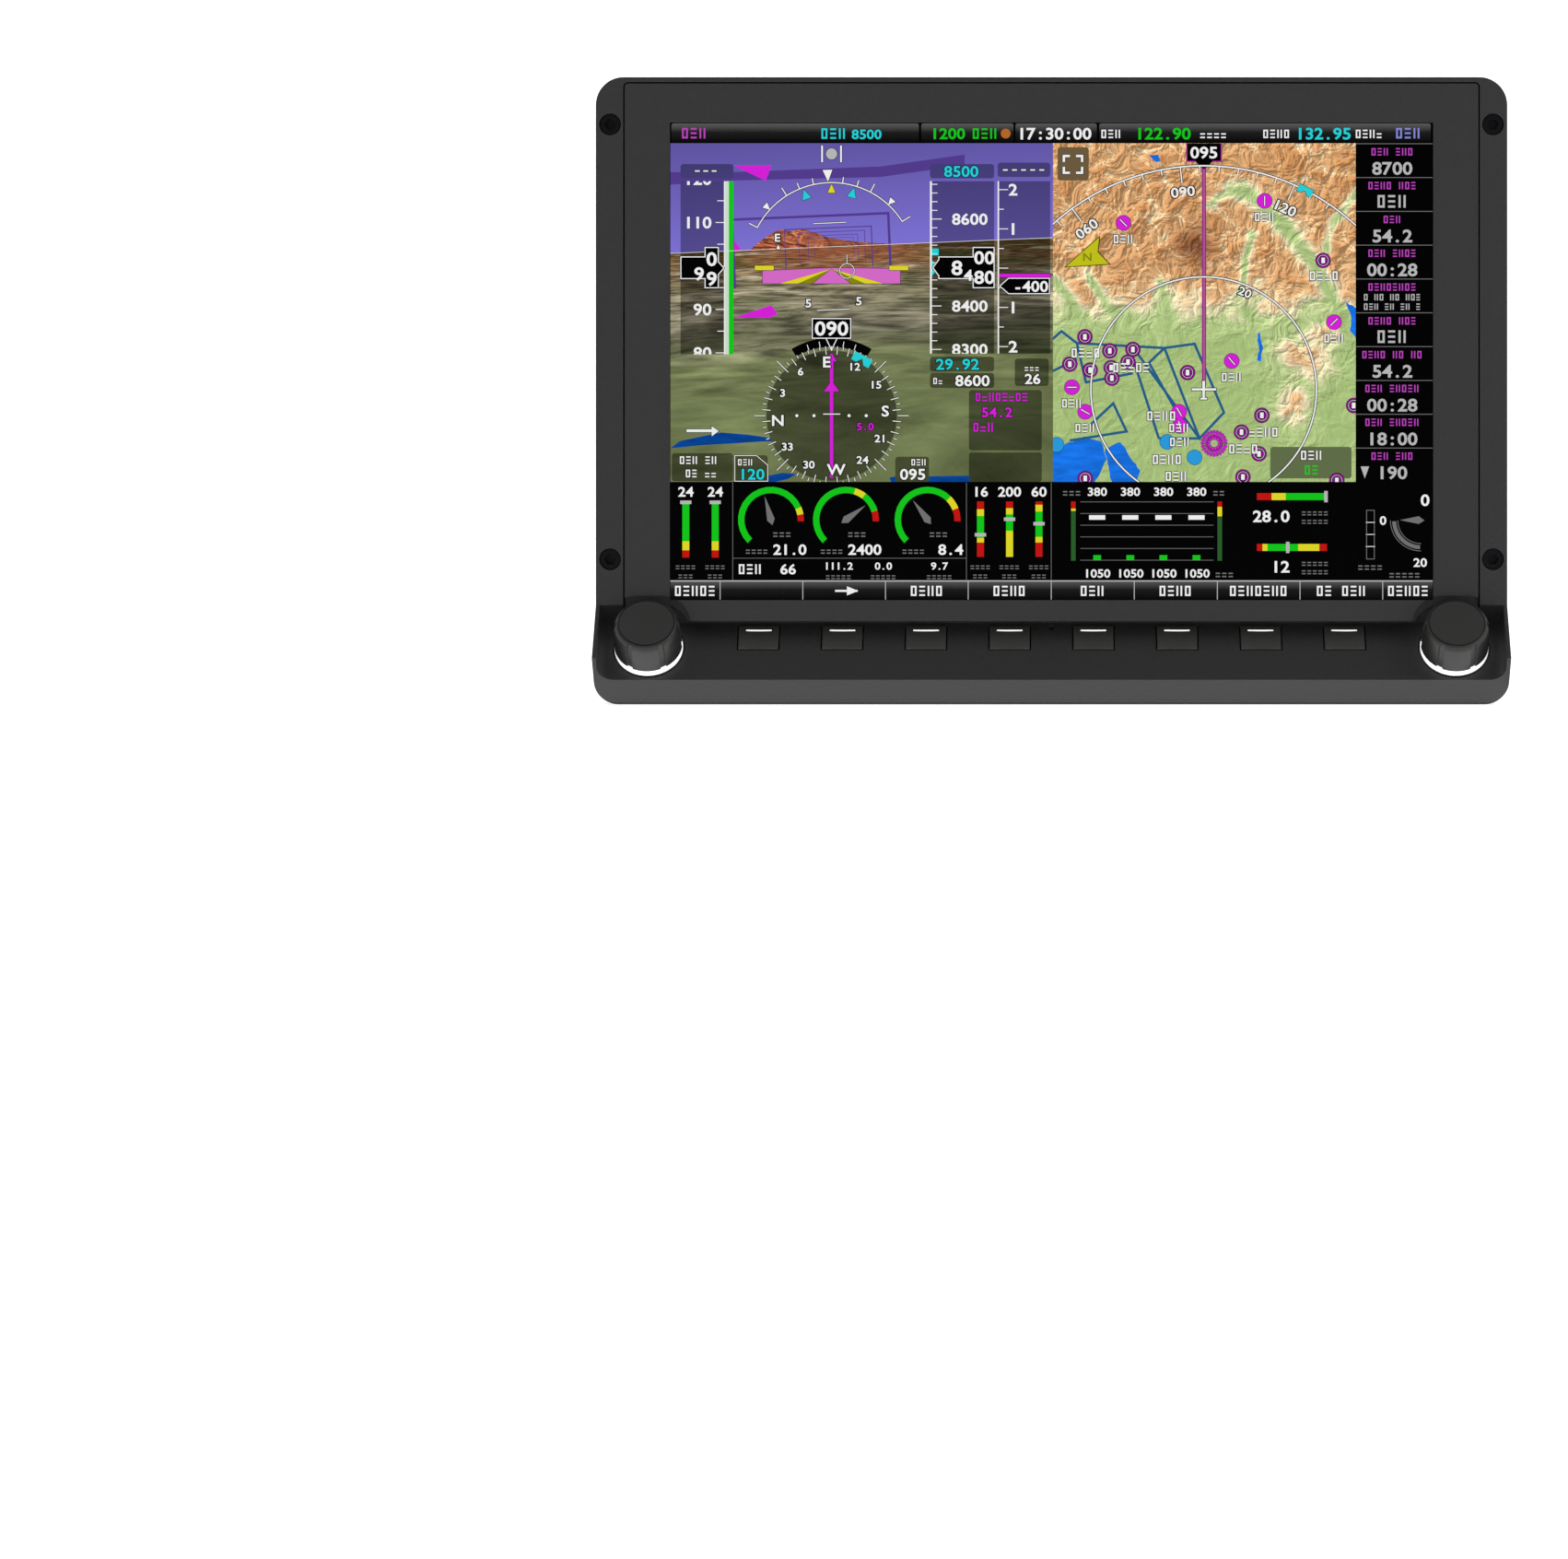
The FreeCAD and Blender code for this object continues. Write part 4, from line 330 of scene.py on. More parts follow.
FINISHES = {
    # The last number of each coat sets how much lighter its edges are: edge wear and painted highlight.
    "bezel_coat": (enamel, tone(34, 34, 34), 0.45 * MM, 0.05 * MM, 0.52, 0.4),
    "panel_coat": (enamel, tone(34, 34, 34), 0.3 * MM, 0.03 * MM, 0.48, 0.3),
    "knob_plastic": (moulded, tone(30, 30, 29), 0.42),
    "key_plastic": (moulded, tone(46, 46, 43), 0.5, 0.5 * MM),
    "white_light": (light_plastic,),
    "screen_glass": (glass, tone(16, 16, 18)),
    "steel_black": (metal, tone(24, 24, 26), 0.42, (1, 6, 1)),
    "steel": (metal, tone(190, 192, 196), 0.3, (1, 4, 1)),
    "stainless": (metal, tone(196, 195, 192), 0.24, (1, 0.1, 1)),
    "housing_metal": (metal, tone(142, 143, 146), 0.42, (0.05, 1, 1), 0.35),
    "tray_metal": (metal, tone(186, 187, 190), 0.34, (0.05, 1, 1)),
    "sink_metal": (metal, tone(66, 66, 70), 0.45, (1, 1, 0.1)),
    "display_metal": (metal, tone(158, 159, 162), 0.32, (1, 1, 0.06)),
    "board_green": (board,),
    "silicone": (rubber, tone(92, 93, 96)),
    "fan_plastic": (moulded, tone(36, 36, 38), 0.46),
    "connector_metal": (metal, tone(184, 183, 178), 0.26, (1, 5, 1)),
    "ribbon_film": (ribbon,),
    "gold_brass": (metal, tone(212, 176, 96), 0.24, (1, 5, 1)),
    "clear_pipe": (glass, tone(30, 30, 34)),
}


def dress_cad_pieces():
    """Gives every CAD piece the finish of its record's material slot."""
    made = {slot: build(slot, *values) for slot, (build, *values) in FINISHES.items()}
    for part in frame["record"]["subparts"]:
        mesh = frame["nodes"][part["node"]].data
        mesh.materials.clear()
        mesh.materials.append(made[part["material_slot"]])


# ------------------------------------------------------------------ turning caps and key lights
def add_object(name, data):
    made = bpy.data.objects.new(name, data)
    bpy.context.scene.collection.objects.link(made)
    return made


def stand_in(name, mesh, body, old):
    """A new piece on a body, in the place of a CAD piece."""
    made = add_object(name, mesh)
    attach(made, body)
    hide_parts(old)


def joint_axis(name):
    return Vector(next(joint["axis"] for joint in frame["joints"] if joint["name"] == name))


KNOB_INSIDE = ((1.5, 9.6), (1.5, 6.05), (3.2, 6.05), (3.2, 9.6), (8.0, 9.6), (8.0, 2.2))
KNOB_FLANK = ((9.7, 2.2), (9.3, 10.3), (9.0, 11.2))
KNOB_TOP = ((8.6, 11.8), (8.1, 12.1), (8.0, 11.8), (7.75, 11.8), (7.7, 12.25))
KNOB_SIDES = 6
GRIP_HALF = 5.6
GRIP_WALL = 0.7
GRIP_DEEP = 0.5
RING_HIGH = 2.2


def knob_angles():
    """Directions round the knob in degrees, closer together where the grip grooves are."""
    share = 360 / KNOB_SIDES
    steps = [-GRIP_HALF, GRIP_WALL - GRIP_HALF, 0.0, GRIP_HALF - GRIP_WALL, GRIP_HALF]
    steps += [GRIP_HALF + (share - 2 * GRIP_HALF) * step / 12 for step in range(1, 12)]
    return [side * share + step for side in range(KNOB_SIDES) for step in steps]


def grip_depth(degrees):
    share = 360 / KNOB_SIDES
    off = abs((degrees + share / 2) % share - share / 2)
    return GRIP_DEEP if off < GRIP_HALF - GRIP_WALL / 2 else 0.0


def knob_rows(solid, base, out):
    """Rings of points from the bore through the hollow, up the flank and onto the disc."""
    across = Vector((1, 0, 0))
    up = out.cross(across)
    rows = []
    for radius, height in KNOB_INSIDE + KNOB_FLANK + KNOB_TOP:
        row = []
        for degrees in knob_angles():
            angle = math.radians(degrees)
            reach = radius - (grip_depth(degrees) if (radius, height) in KNOB_FLANK else 0.0)
            offset = (across * math.cos(angle) + up * math.sin(angle)) * reach + out * height
            row.append(solid.verts.new(base + offset * MM))
        rows.append(row)
    return rows


def make_knob(side):
    """A hollow cap that widens towards its foot, with grooved flanks and a disc on top."""
    out = -joint_axis(f"{side}_knob_push")
    low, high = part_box(f"{side}_light_ring")
    base = (low + high) / 2 - out * RING_HIGH / 2 * MM
    solid = bmesh.new()
    rows = knob_rows(solid, base, out)
    for first, second in zip(rows, rows[1:]):
        for index in range(len(first)):
            solid.faces.new([first[index - 1], first[index], second[index], second[index - 1]])
    solid.faces.new(rows[0])
    solid.faces.new(rows[-1])
    bmesh.ops.recalc_face_normals(solid, faces=solid.faces)
    mesh = bpy.data.meshes.new(f"{side}_turning_cap")
    solid.to_mesh(mesh)
    solid.free()
    mesh.shade_smooth()
    mesh.set_sharp_from_angle(angle=math.radians(25))
    mesh.materials.append(frame["nodes"][f"{side}_knob"].data.materials[0])
    stand_in(mesh.name, mesh, f"{side}_dial", f"{side}_knob")


def slim_key_light(number):
    """The lit line on a key, half as tall as the slot that guides it."""
    marker = frame["nodes"][f"marker_{number}"]
    up = joint_axis(f"key_{number}_push").cross(Vector((1, 0, 0)))
    low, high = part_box(marker.name)
    middle = (low + high) / 2
    mesh = marker.data.copy()
    for vertex in mesh.vertices:
        vertex.co -= up * (vertex.co - middle).dot(up) / 2
    stand_in(f"key_light_{number}", mesh, f"key_{number}", marker.name)


# ------------------------------------------------------------------ flat shapes on the glass
GLASS_LOW, GLASS_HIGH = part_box("cover_glass")
WIDE = (GLASS_HIGH.x - GLASS_LOW.x) / MM
TALL = (GLASS_HIGH.z - GLASS_LOW.z) / MM
SHEET_STEP = 0.022
SHEET_THICK = 0.016
GLYPH_PITCH = 0.83
GLYPH_STRETCH = 1.14
DIGIT_TALL = 0.7
BOLD = 0.022
WHOLE = (0.0, 0.0, WIDE, TALL)

# Levels of the picture, from the glass outwards
BASE = 0
SCENERY = 1
PATCHES = 2
GLOWS = 2.4
SMOKE = 3
STEERING = 3.6
BANDS = 4
TRAFFIC = 4.6
MARKS = 5
AIRFIELDS = 5.4
BOXES = 6
WRITING = 7
TOPMOST = 8


def spot(across, down, level):
    """A point of the picture in the part's frame; higher levels stand further off the glass."""
    return Vector((GLASS_LOW.x + across * MM,
                   GLASS_LOW.y - (SHEET_THICK + 0.004 + level * SHEET_STEP) * MM,
                   GLASS_HIGH.z - down * MM))


def trimmed(points, a, b, c):
    """The part of an outline where a * across + b * down is at most c."""
    kept = []
    for here, before in zip(points, points[-1:] + points[:-1]):
        over = a * here[0] + b * here[1] - c
        was_over = a * before[0] + b * before[1] - c
        if (over > 0) != (was_over > 0):
            share = was_over / (was_over - over)
            kept.append((before[0] + share * (here[0] - before[0]),
                         before[1] + share * (here[1] - before[1])))
        if over <= 0:
            kept.append(here)
    return kept


def within(points, window):
    left, top, right, bottom = window
    for a, b, c in ((-1, 0, -left), (0, -1, -top), (1, 0, right), (0, 1, bottom)):
        if points:
            points = trimmed(points, a, b, c)
    return points


def box_outline(left, top, right, bottom):
    return [(left, top), (right, top), (right, bottom), (left, bottom)]


def soft_box(left, top, right, bottom, radius=0.8):
    """A box outline with rounded corners."""
    points = []
    corners = ((right - radius, top + radius, 0), (right - radius, bottom - radius, 90),
               (left + radius, bottom - radius, 180), (left + radius, top + radius, 270))
    for across, down, start in corners:
        points += arc((across, down), radius, start, start + 90, 4)
    return points


def on_circle(centre, radius, degrees):
    """The point at an angle that is counted clockwise from straight up."""
    angle = math.radians(degrees)
    return (centre[0] + radius * math.sin(angle), centre[1] - radius * math.cos(angle))


def arc(centre, radius, start, end, steps=24):
    return [on_circle(centre, radius, start + (end - start) * step / steps)
            for step in range(steps + 1)]


def disc(centre, radius, steps=24):
    return arc(centre, radius, 0, 360, steps)[:-1]


def turned(points, centre, degrees):
    """Points turned clockwise about a centre."""
    sine, cosine = math.sin(math.radians(degrees)), math.cos(math.radians(degrees))
    return [(centre[0] + (x - centre[0]) * cosine - (y - centre[1]) * sine,
             centre[1] + (x - centre[0]) * sine + (y - centre[1]) * cosine) for x, y in points]


@functools.cache
def glyph(mark, swell=0.0):
    """Flat faces of one character, in units of a digit's height, centred left to right."""
    curve = bpy.data.curves.new("glyph", "FONT")
    curve.body = mark
    curve.resolution_u = 3
    curve.offset = BOLD + swell
    shown = add_object("glyph", curve)
    mesh = shown.evaluated_get(bpy.context.evaluated_depsgraph_get()).to_mesh()
    corners = [(vertex.co.x, vertex.co.y) for vertex in mesh.vertices]
    faces = [[corners[index] for index in face.vertices] for face in mesh.polygons]
    shown.to_mesh_clear()
    bpy.data.objects.remove(shown)
    middle = (min(x for x, _ in corners) + max(x for x, _ in corners)) / 2
    return [[((x - middle) * GLYPH_STRETCH / DIGIT_TALL, y / DIGIT_TALL) for x, y in face]
            for face in faces]


class Sheet:
    """Shapes of one finish at one level, gathered into one thin solid piece.

    A sheet with a rim also keeps a dark sheet just under it that shows round its shapes."""

    drawn = []

    def __init__(self, name, finish, level, window=WHOLE, rim=0.0):
        Sheet.drawn.append(self)
        self.name = name
        self.finish = finish
        self.level = level
        self.window = window
        self.rim_wide = rim
        self.rim = Sheet(name + "_rim", BLACK, level - 1, window) if rim else None
        self.mesh = bmesh.new()

    def fill(self, points):
        kept = within(points, self.window)
        if len(kept) > 2:
            self.mesh.faces.new([self.mesh.verts.new(spot(*point, self.level)) for point in kept])

    def shape(self, points):
        self.fill(points)
        if self.rim:
            self.rim.stroke(points, 2 * self.rim_wide, closed=True)

    def box(self, left, top, right, bottom):
        self.shape(box_outline(left, top, right, bottom))

    def stroke(self, points, width, closed=False):
        """A line of even width through points, mitred at its corners."""
        if self.rim:
            self.rim.stroke(points, width + 2 * self.rim_wide, closed)
        if closed:
            points = points + points[:2]
        sides = ([], [])
        for index, here in enumerate(points):
            before = Vector(points[max(index - 1, 0)])
            after = Vector(points[min(index + 1, len(points) - 1)])
            if closed and index in (0, len(points) - 1):
                continue
            here = Vector(here)
            second = (after - here if index < len(points) - 1 else here - before).normalized()
            first = (here - before if index else after - here).normalized()
            along = (first + second).normalized()
            normal = Vector((-along.y, along.x))
            reach = width / 2 / max(0.4, along.dot(first))
            sides[0].append(here + normal * reach)
            sides[1].append(here - normal * reach)
        if closed:
            sides[0].append(sides[0][0])
            sides[1].append(sides[1][0])
        for index in range(len(sides[0]) - 1):
            self.fill([tuple(sides[0][index]), tuple(sides[0][index + 1]),
                       tuple(sides[1][index + 1]), tuple(sides[1][index])])

    def frame(self, left, top, right, bottom, width=0.25):
        self.stroke(box_outline(left, top, right, bottom), width, closed=True)

    def band(self, centre, inner, outer, start, end, steps=24):
        inside = arc(centre, inner, start, end, steps)
        outside = arc(centre, outer, start, end, steps)
        for index in range(steps):
            self.fill([outside[index], outside[index + 1], inside[index + 1], inside[index]])

    def ray(self, centre, inner, outer, angle, width):
        self.stroke([on_circle(centre, inner, angle), on_circle(centre, outer, angle)], width)

    def text(self, text, across, down, height, align=0.5, turn=0.0, swell=0.0):
        """Evenly spaced characters; align 0 starts them at the point and 1 ends them there."""
        pitch = GLYPH_PITCH * height
        start = across + pitch * (0.5 - align * len(text))
        for index, mark in enumerate(text):
            for face in glyph(mark, swell) if mark != " " else ():
                points = [(start + index * pitch + x * height, down + (0.5 - y) * height)
                          for x, y in face]
                self.fill(turned(points, (across, down), turn))
        if self.rim:
            self.rim.text(text, across, down, height, align, turn, self.rim_wide / height)

    def word(self, pattern, across, down, height, align=0.5):
        """Plain boxes and bars in a row where a label would be, so that nothing is spelt."""
        pitch = height * GLYPH_PITCH
        start = across - pitch * len(pattern) * align
        line = height * 0.17
        high = down - height / 2 + line / 2
        low = down + height / 2 - line / 2
        for index, mark in enumerate(pattern):
            left = start + (index + 0.1) * pitch
            right = left + pitch * 0.68
            if mark == "#" and index % 3 == 0:
                self.stroke(box_outline(left + line / 2, high, right - line / 2, low), line,
                            closed=True)
            elif mark == "#" and index % 3 == 1:
                for level in (high, down, low):
                    self.stroke([(left, level), (right, level)], line)
            elif mark == "#":
                for side in (left + line / 2, right - line / 2):
                    self.stroke([(side, high - line / 2), (side, low + line / 2)], line)
            elif mark == "=":
                for level in (down, low):
                    self.stroke([(left, level), (right, level)], line)

    def piece(self):
        """The finished object, riding on the display's own body."""
        for face in self.mesh.faces:
            face.normal_update()
            if face.normal.y > 0:
                face.normal_flip()
        mesh = bpy.data.meshes.new(self.name)
        bmesh.ops.remove_doubles(self.mesh, verts=self.mesh.verts, dist=1e-7)
        self.mesh.to_mesh(mesh)
        self.mesh.free()
        mesh.materials.append(self.finish)
        made = add_object(self.name, mesh)
        solid = made.modifiers.new("thickness", "SOLIDIFY")
        solid.thickness = SHEET_THICK * MM
        solid.offset = -1
        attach(made, "root")


# ------------------------------------------------------------------ finishes of the picture
SCREEN_CELL = 0.16 * MM
LINE_FADE = 0.08


def cell_grid(recipe):
    """A factor just below 1 that dips between the cells of the lit display."""
    columns = recipe.span(recipe.stripes(SCREEN_CELL, "X"), 1 - LINE_FADE, 1.0)
    rows = recipe.span(recipe.stripes(SCREEN_CELL, "Z"), 1 - LINE_FADE, 1.0)
    return recipe.times(columns, rows)


def lit(recipe, colour, strength=1.0):
    """Closes a picture material: light from the display under a low-glare coating."""
    glow = recipe.dimmed(colour, cell_grid(recipe))
    haze = recipe.noise(30 * MM, 3.0)
    return recipe.set(Base_Color=(0.0, 0.0, 0.0, 1.0), Emission_Color=glow,
                      Emission_Strength=strength, Roughness=recipe.span(haze, 0.2, 0.32),
                      Specular_IOR_Level=0.015)


def plain(name, colour):
    """One lit colour, a little uneven as a backlight is."""
    recipe = Recipe(name)
    uneven = recipe.noise(60 * MM, 2.0)
    return lit(recipe, recipe.mix(recipe.span(uneven, 0.0, 1.0), scaled(colour, 0.92), colour))


def shaded_bar(name, top, bottom, light, dark):
    """A bar that fades from light at its top edge to dark at its foot."""
    recipe = Recipe(name)
    height = recipe.axes()[2]
    fade = recipe.span(height, 1.0, 0.0, spot(0, bottom, 0).z, spot(0, top, 0).z)
    grain = recipe.noise(1.5 * MM, 2.0)
    fade = recipe.plus(fade, recipe.span(grain, -0.02, 0.02))
    return lit(recipe, recipe.ramp(fade, [(0.0, light), (0.45, scaled(light, 0.12)), (1.0, dark)]))


VIEW_BOX = (0.0, 5.75, 109.2, 102.4)
VIEW_MIDDLE = (46.0, 40.9)
HORIZON_LEFT = 37.2
HORIZON_RIGHT = 32.7
HORIZON_SLOPE = (HORIZON_RIGHT - HORIZON_LEFT) / VIEW_BOX[2]


def horizon(across):
    """How far down the horizon line is at a place across the view."""
    return HORIZON_LEFT + (HORIZON_RIGHT - HORIZON_LEFT) * across / VIEW_BOX[2]


def depth_below_horizon(recipe):
    """Millimetres below the horizon line, as a node value."""
    x, _, z = recipe.axes()
    level = spot(0, HORIZON_LEFT, 0)
    line = recipe.plus(recipe.times(recipe.minus(x, level.x), -HORIZON_SLOPE), level.z)
    return recipe.maths("DIVIDE", recipe.minus(line, z), MM)


def sky(name, dim=1.0):
    recipe = Recipe(name)
    depth = depth_below_horizon(recipe)
    haze = recipe.noise(16 * MM, 3.0)
    height = recipe.plus(depth, recipe.span(haze, -1.0, 1.0))
    colour = recipe.ramp(recipe.span(height, 0.0, 1.0, -32.0, 0.0), [
        (0.0, tone(96, 85, 163)), (0.5, tone(113, 100, 190)), (1.0, tone(128, 116, 216))])
    return lit(recipe, recipe.dimmed(colour, dim))


def relief(recipe, grain, place, step, warp=0.9):
    """Light and shade on rough land: how much lower it lies a step towards the light."""
    moved = recipe.vector_maths("ADD", place, step)[0]
    height = recipe.noise(grain, 9.0, 0.6, place=place, warp=warp)
    uphill = recipe.noise(grain, 9.0, 0.6, place=moved, warp=warp)
    return height, recipe.minus(height, uphill)


def ground(name, dim=1.0):
    """Hills seen from the air: fields stretch out sideways and shrink towards the horizon."""
    recipe = Recipe(name)
    x = recipe.axes()[0]
    depth = depth_below_horizon(recipe)
    far = recipe.maths("DIVIDE", 26.0, recipe.plus(depth, 7.0))
    side = recipe.times(recipe.minus(x, spot(46, 0, 0).x), far)
    land = recipe.vector(recipe.times(side, 18.0), recipe.times(far, 3.0),
                         0.0)
    fields = recipe.noise(1.0, 5.0, 0.55, place=land, warp=0.8)
    _, light = relief(recipe, 0.42, recipe.stretched((1.0, 1.7, 1.0), land), (0.1, 0.06, 0.0))
    base = recipe.ramp(recipe.span(depth, 0.0, 1.0, 0.0, 65.0), [
        (0.0, tone(106, 78, 42)), (0.07, tone(124, 94, 58)), (0.15, tone(124, 112, 88)),
        (0.24, tone(134, 128, 104)), (0.36, tone(110, 106, 88)), (0.5, tone(106, 114, 76)),
        (0.72, tone(102, 112, 72)), (1.0, tone(92, 102, 64))])
    pale = recipe.mix(recipe.span(fields, 0.0, 0.8, 0.52, 0.64), base, tone(190, 182, 154))
    green = recipe.mix(recipe.span(fields, 0.8, 0.0, 0.36, 0.48), pale, tone(84, 94, 56))
    near = recipe.span(depth, 0.0, 1.0, 22.0, 34.0)
    soft = recipe.mix(recipe.span(fields, 0.0, 0.6, 0.42, 0.62), base, tone(134, 144, 98))
    colour = recipe.mix(near, green, soft)
    off_peak = recipe.maths("ABSOLUTE", recipe.minus(x, spot(48, 0, 0).x))
    red = recipe.times(recipe.span(off_peak, 1.0, 0.0, 12 * MM, 30 * MM),
                       recipe.span(depth, 0.95, 0.0, 2.0, 8.0))
    colour = recipe.mix(red, colour, tone(148, 88, 60))
    contrast = recipe.span(depth, 6.0, 1.6, 4.0, 40.0)
    shade = recipe.span(recipe.times(light, contrast), 0.42, 1.6, -0.5, 0.5)
    return lit(recipe, recipe.dimmed(recipe.dimmed(colour, shade), dim))


def mountain(name):
    """Bare red rock whose ridges run down from the summit."""
    recipe = Recipe(name)
    slant = recipe.stretched((0.7, 1.0, 1.9))
    height, light = relief(recipe, 5 * MM, slant, (0.5 * MM, 0.0, 0.4 * MM), 1.4)
    x = recipe.axes()[0]
    rock = recipe.ramp(height, [(0.35, tone(128, 66, 44)), (0.5, tone(170, 92, 64)),
                                (0.62, tone(196, 122, 84))])
    right = recipe.span(x, 0.0, 0.75, spot(36, 0, 0).x, spot(60, 0, 0).x)
    colour = recipe.mix(right, rock, tone(122, 82, 62))
    shade = recipe.span(recipe.times(light, 5.0), 0.4, 1.6, -0.5, 0.5)
    return lit(recipe, recipe.dimmed(colour, shade))


def water(name, colour):
    recipe = Recipe(name)
    ripple = recipe.noise(3 * MM, 4.0, 0.6, place=recipe.stretched((0.4, 1, 1.6)))
    return lit(recipe, recipe.mix(recipe.span(ripple, 0.0, 1.0, 0.35, 0.65),
                                  scaled(colour, 0.8), scaled(colour, 1.2)))


def relief_map(name):
    """Tinted height map lit from the upper left; the mesh says how high the land is."""
    recipe = Recipe(name)
    rise = recipe.mesh_value("rise")
    peak = recipe.mesh_value("peak")
    height, light = relief(recipe, 6 * MM, recipe.place, (-0.3 * MM, 0.0, 0.3 * MM))
    rough = recipe.plus(recipe.times(rise, 8.5), 1.6)
    shade = recipe.span(recipe.times(light, rough), 0.5, 1.4, -0.34, 0.34)
    bends = recipe.noise(15 * MM, 5.0, 0.55, warp=1.2)
    off_stream = recipe.maths("ABSOLUTE", recipe.minus(bends, 0.5))
    stream = recipe.span(off_stream, 0.34, 0.0, 0.004, 0.022)
    level = recipe.plus(rise, recipe.span(height, -0.2, 0.2, 0.25, 0.75))
    level = recipe.minus(level, recipe.times(stream, rise))
    colour = recipe.ramp(level, [
        (0.0, tone(174, 200, 128)), (0.26, tone(190, 212, 144)), (0.4, tone(222, 222, 170)),
        (0.52, tone(246, 232, 192)), (0.68, tone(238, 196, 144)), (1.0, tone(208, 148, 94))])
    colour = recipe.mix(peak, colour, tone(112, 52, 34))
    return lit(recipe, recipe.dimmed(colour, shade))


WHITE = plain("lit_white", tone(250, 250, 250))
GREY = plain("lit_grey", tone(118, 118, 118))
SILVER = plain("lit_silver", tone(190, 190, 190))
BLACK = plain("unlit_black", tone(1, 1, 2))
CYAN = plain("lit_cyan", tone(40, 216, 224))
MAGENTA = plain("lit_magenta", tone(222, 34, 224))
ORCHID = plain("lit_orchid", tone(190, 70, 190))
GOLD = plain("lit_gold", tone(200, 200, 28))
PURPLE = plain("lit_purple", tone(150, 16, 150))
PINK = plain("lit_pink", tone(222, 110, 208))
GREEN = plain("lit_green", tone(20, 205, 28))
DARK_GREEN = plain("lit_dark_green", tone(44, 96, 44))
YELLOW = plain("lit_yellow", tone(232, 222, 40))
OLIVE = plain("lit_olive", tone(140, 140, 20))
RED = plain("lit_red", tone(200, 22, 18))
BLUE = plain("lit_blue", tone(38, 98, 142))
AZURE = plain("lit_azure", tone(44, 160, 226))
TRACK = plain("lit_track", tone(178, 92, 142))
MAP_SHADE = plain("lit_map_shade", tone(112, 94, 64))
GREEN_SHADE = plain("lit_green_shade", tone(100, 114, 76))
PALE_GREEN = plain("lit_pale_green", tone(208, 232, 210))
GATE_SHADE = plain("lit_gate_shade", tone(86, 62, 146))


# ------------------------------------------------------------------ the picture: attitude view
def below_horizon(points):
    """The part of an outline on the ground side of the horizon line."""
    return trimmed(points, HORIZON_SLOPE, -1, -HORIZON_LEFT)


def above_horizon(points):
    return trimmed(points, -HORIZON_SLOPE, 1, HORIZON_LEFT)


def draw_backdrop():
    base = Sheet("screen_base", BLACK, BASE)
    base.box(*WHOLE)
    view = box_outline(*VIEW_BOX)
    above = Sheet("view_sky", sky("view_sky"), SCENERY)
    above.shape(above_horizon(view))
    below = Sheet("view_ground", ground("view_ground"), SCENERY)
    below.shape(below_horizon(view))
    lakes = Sheet("view_lakes", water("view_water", tone(4, 68, 150)), PATCHES, VIEW_BOX)
    lakes.shape([(0, 92.8), (2.6, 90.8), (9, 89.4), (14.5, 88.3), (22, 88.9), (27.6, 89.7),
                 (37, 90.0), (35.5, 90.8), (26, 90.9), (17, 91.5), (9, 91.9)])
    lakes.shape([(26.5, 102.4), (28, 100.6), (32, 99.8), (36, 100.2), (33.5, 101.6), (30, 102.4)])
    lakes.shape([(62.5, 101.2), (66, 100.4), (74, 100.8), (85, 100.6), (97, 101.6),
                 (104, 102.4), (63, 102.4)])
    peak = Sheet("view_mountain", mountain("view_mountain"), PATCHES, VIEW_BOX)
    peak.shape(above_horizon([
        (21.0, 38.0), (24.5, 34.6), (27.5, 32.4), (30.2, 30.8), (32.0, 30.4), (33.6, 30.9),
        (35.2, 30.7), (37.6, 30.1), (39.4, 30.7), (41.8, 31.4), (44.0, 32.4), (48.0, 33.2),
        (52.0, 33.7), (58.0, 34.2), (66.0, 34.6), (74.0, 34.5), (78.0, 38.0)]))
    line = Sheet("horizon_line", WHITE, MARKS, VIEW_BOX)
    line.stroke([(0, horizon(0)), (VIEW_BOX[2], horizon(VIEW_BOX[2]))], 0.12)


def draw_gates():
    """The row of hollow frames that shows the planned path through the air."""
    shade = Sheet("path_gates", GATE_SHADE, PATCHES, VIEW_BOX)
    glow = Sheet("path_gate_corners", MAGENTA, GLOWS, VIEW_BOX)
    gates = ((18.2, 62.8, 26.4, 46.0, 0.7), (33.0, 57.8, 29.9, 41.4, 0.3),
             (37.0, 55.8, 31.0, 40.0, 0.2), (39.6, 53.8, 32.0, 39.2, 0.16),
             (41.4, 52.6, 32.8, 38.4, 0.12))
    for left, right, top, bottom, width in gates:
        outline = turned(box_outline(left, top, right, bottom), VIEW_MIDDLE, -2.4)
        shade.stroke(outline[3:] + outline[:3], width)
    shade.shape([(0, 14.0), (18, 14.0), (60, 12.4), (84, 9.0), (84, 12.0), (60, 15.4),
                 (18, 16.4), (0, 17.6)])
    shade.shape([(80.2, 16.6), (87.2, 16.6), (87.0, 24.6), (80.4, 24.6)])
    glow.shape([(18, 12.1), (28.9, 12.1), (27.2, 16.5)])
    glow.shape([(18.2, 33.4), (20.2, 36.2), (18.2, 36.6)])
    glow.shape([(18.2, 55.5), (28.8, 52.0), (30.6, 54.6), (28.0, 55.6)])
    glow.shape([(83.6, 28.2), (85.8, 29.0), (86.0, 36.0), (84.2, 37.0), (82.6, 34.0)])


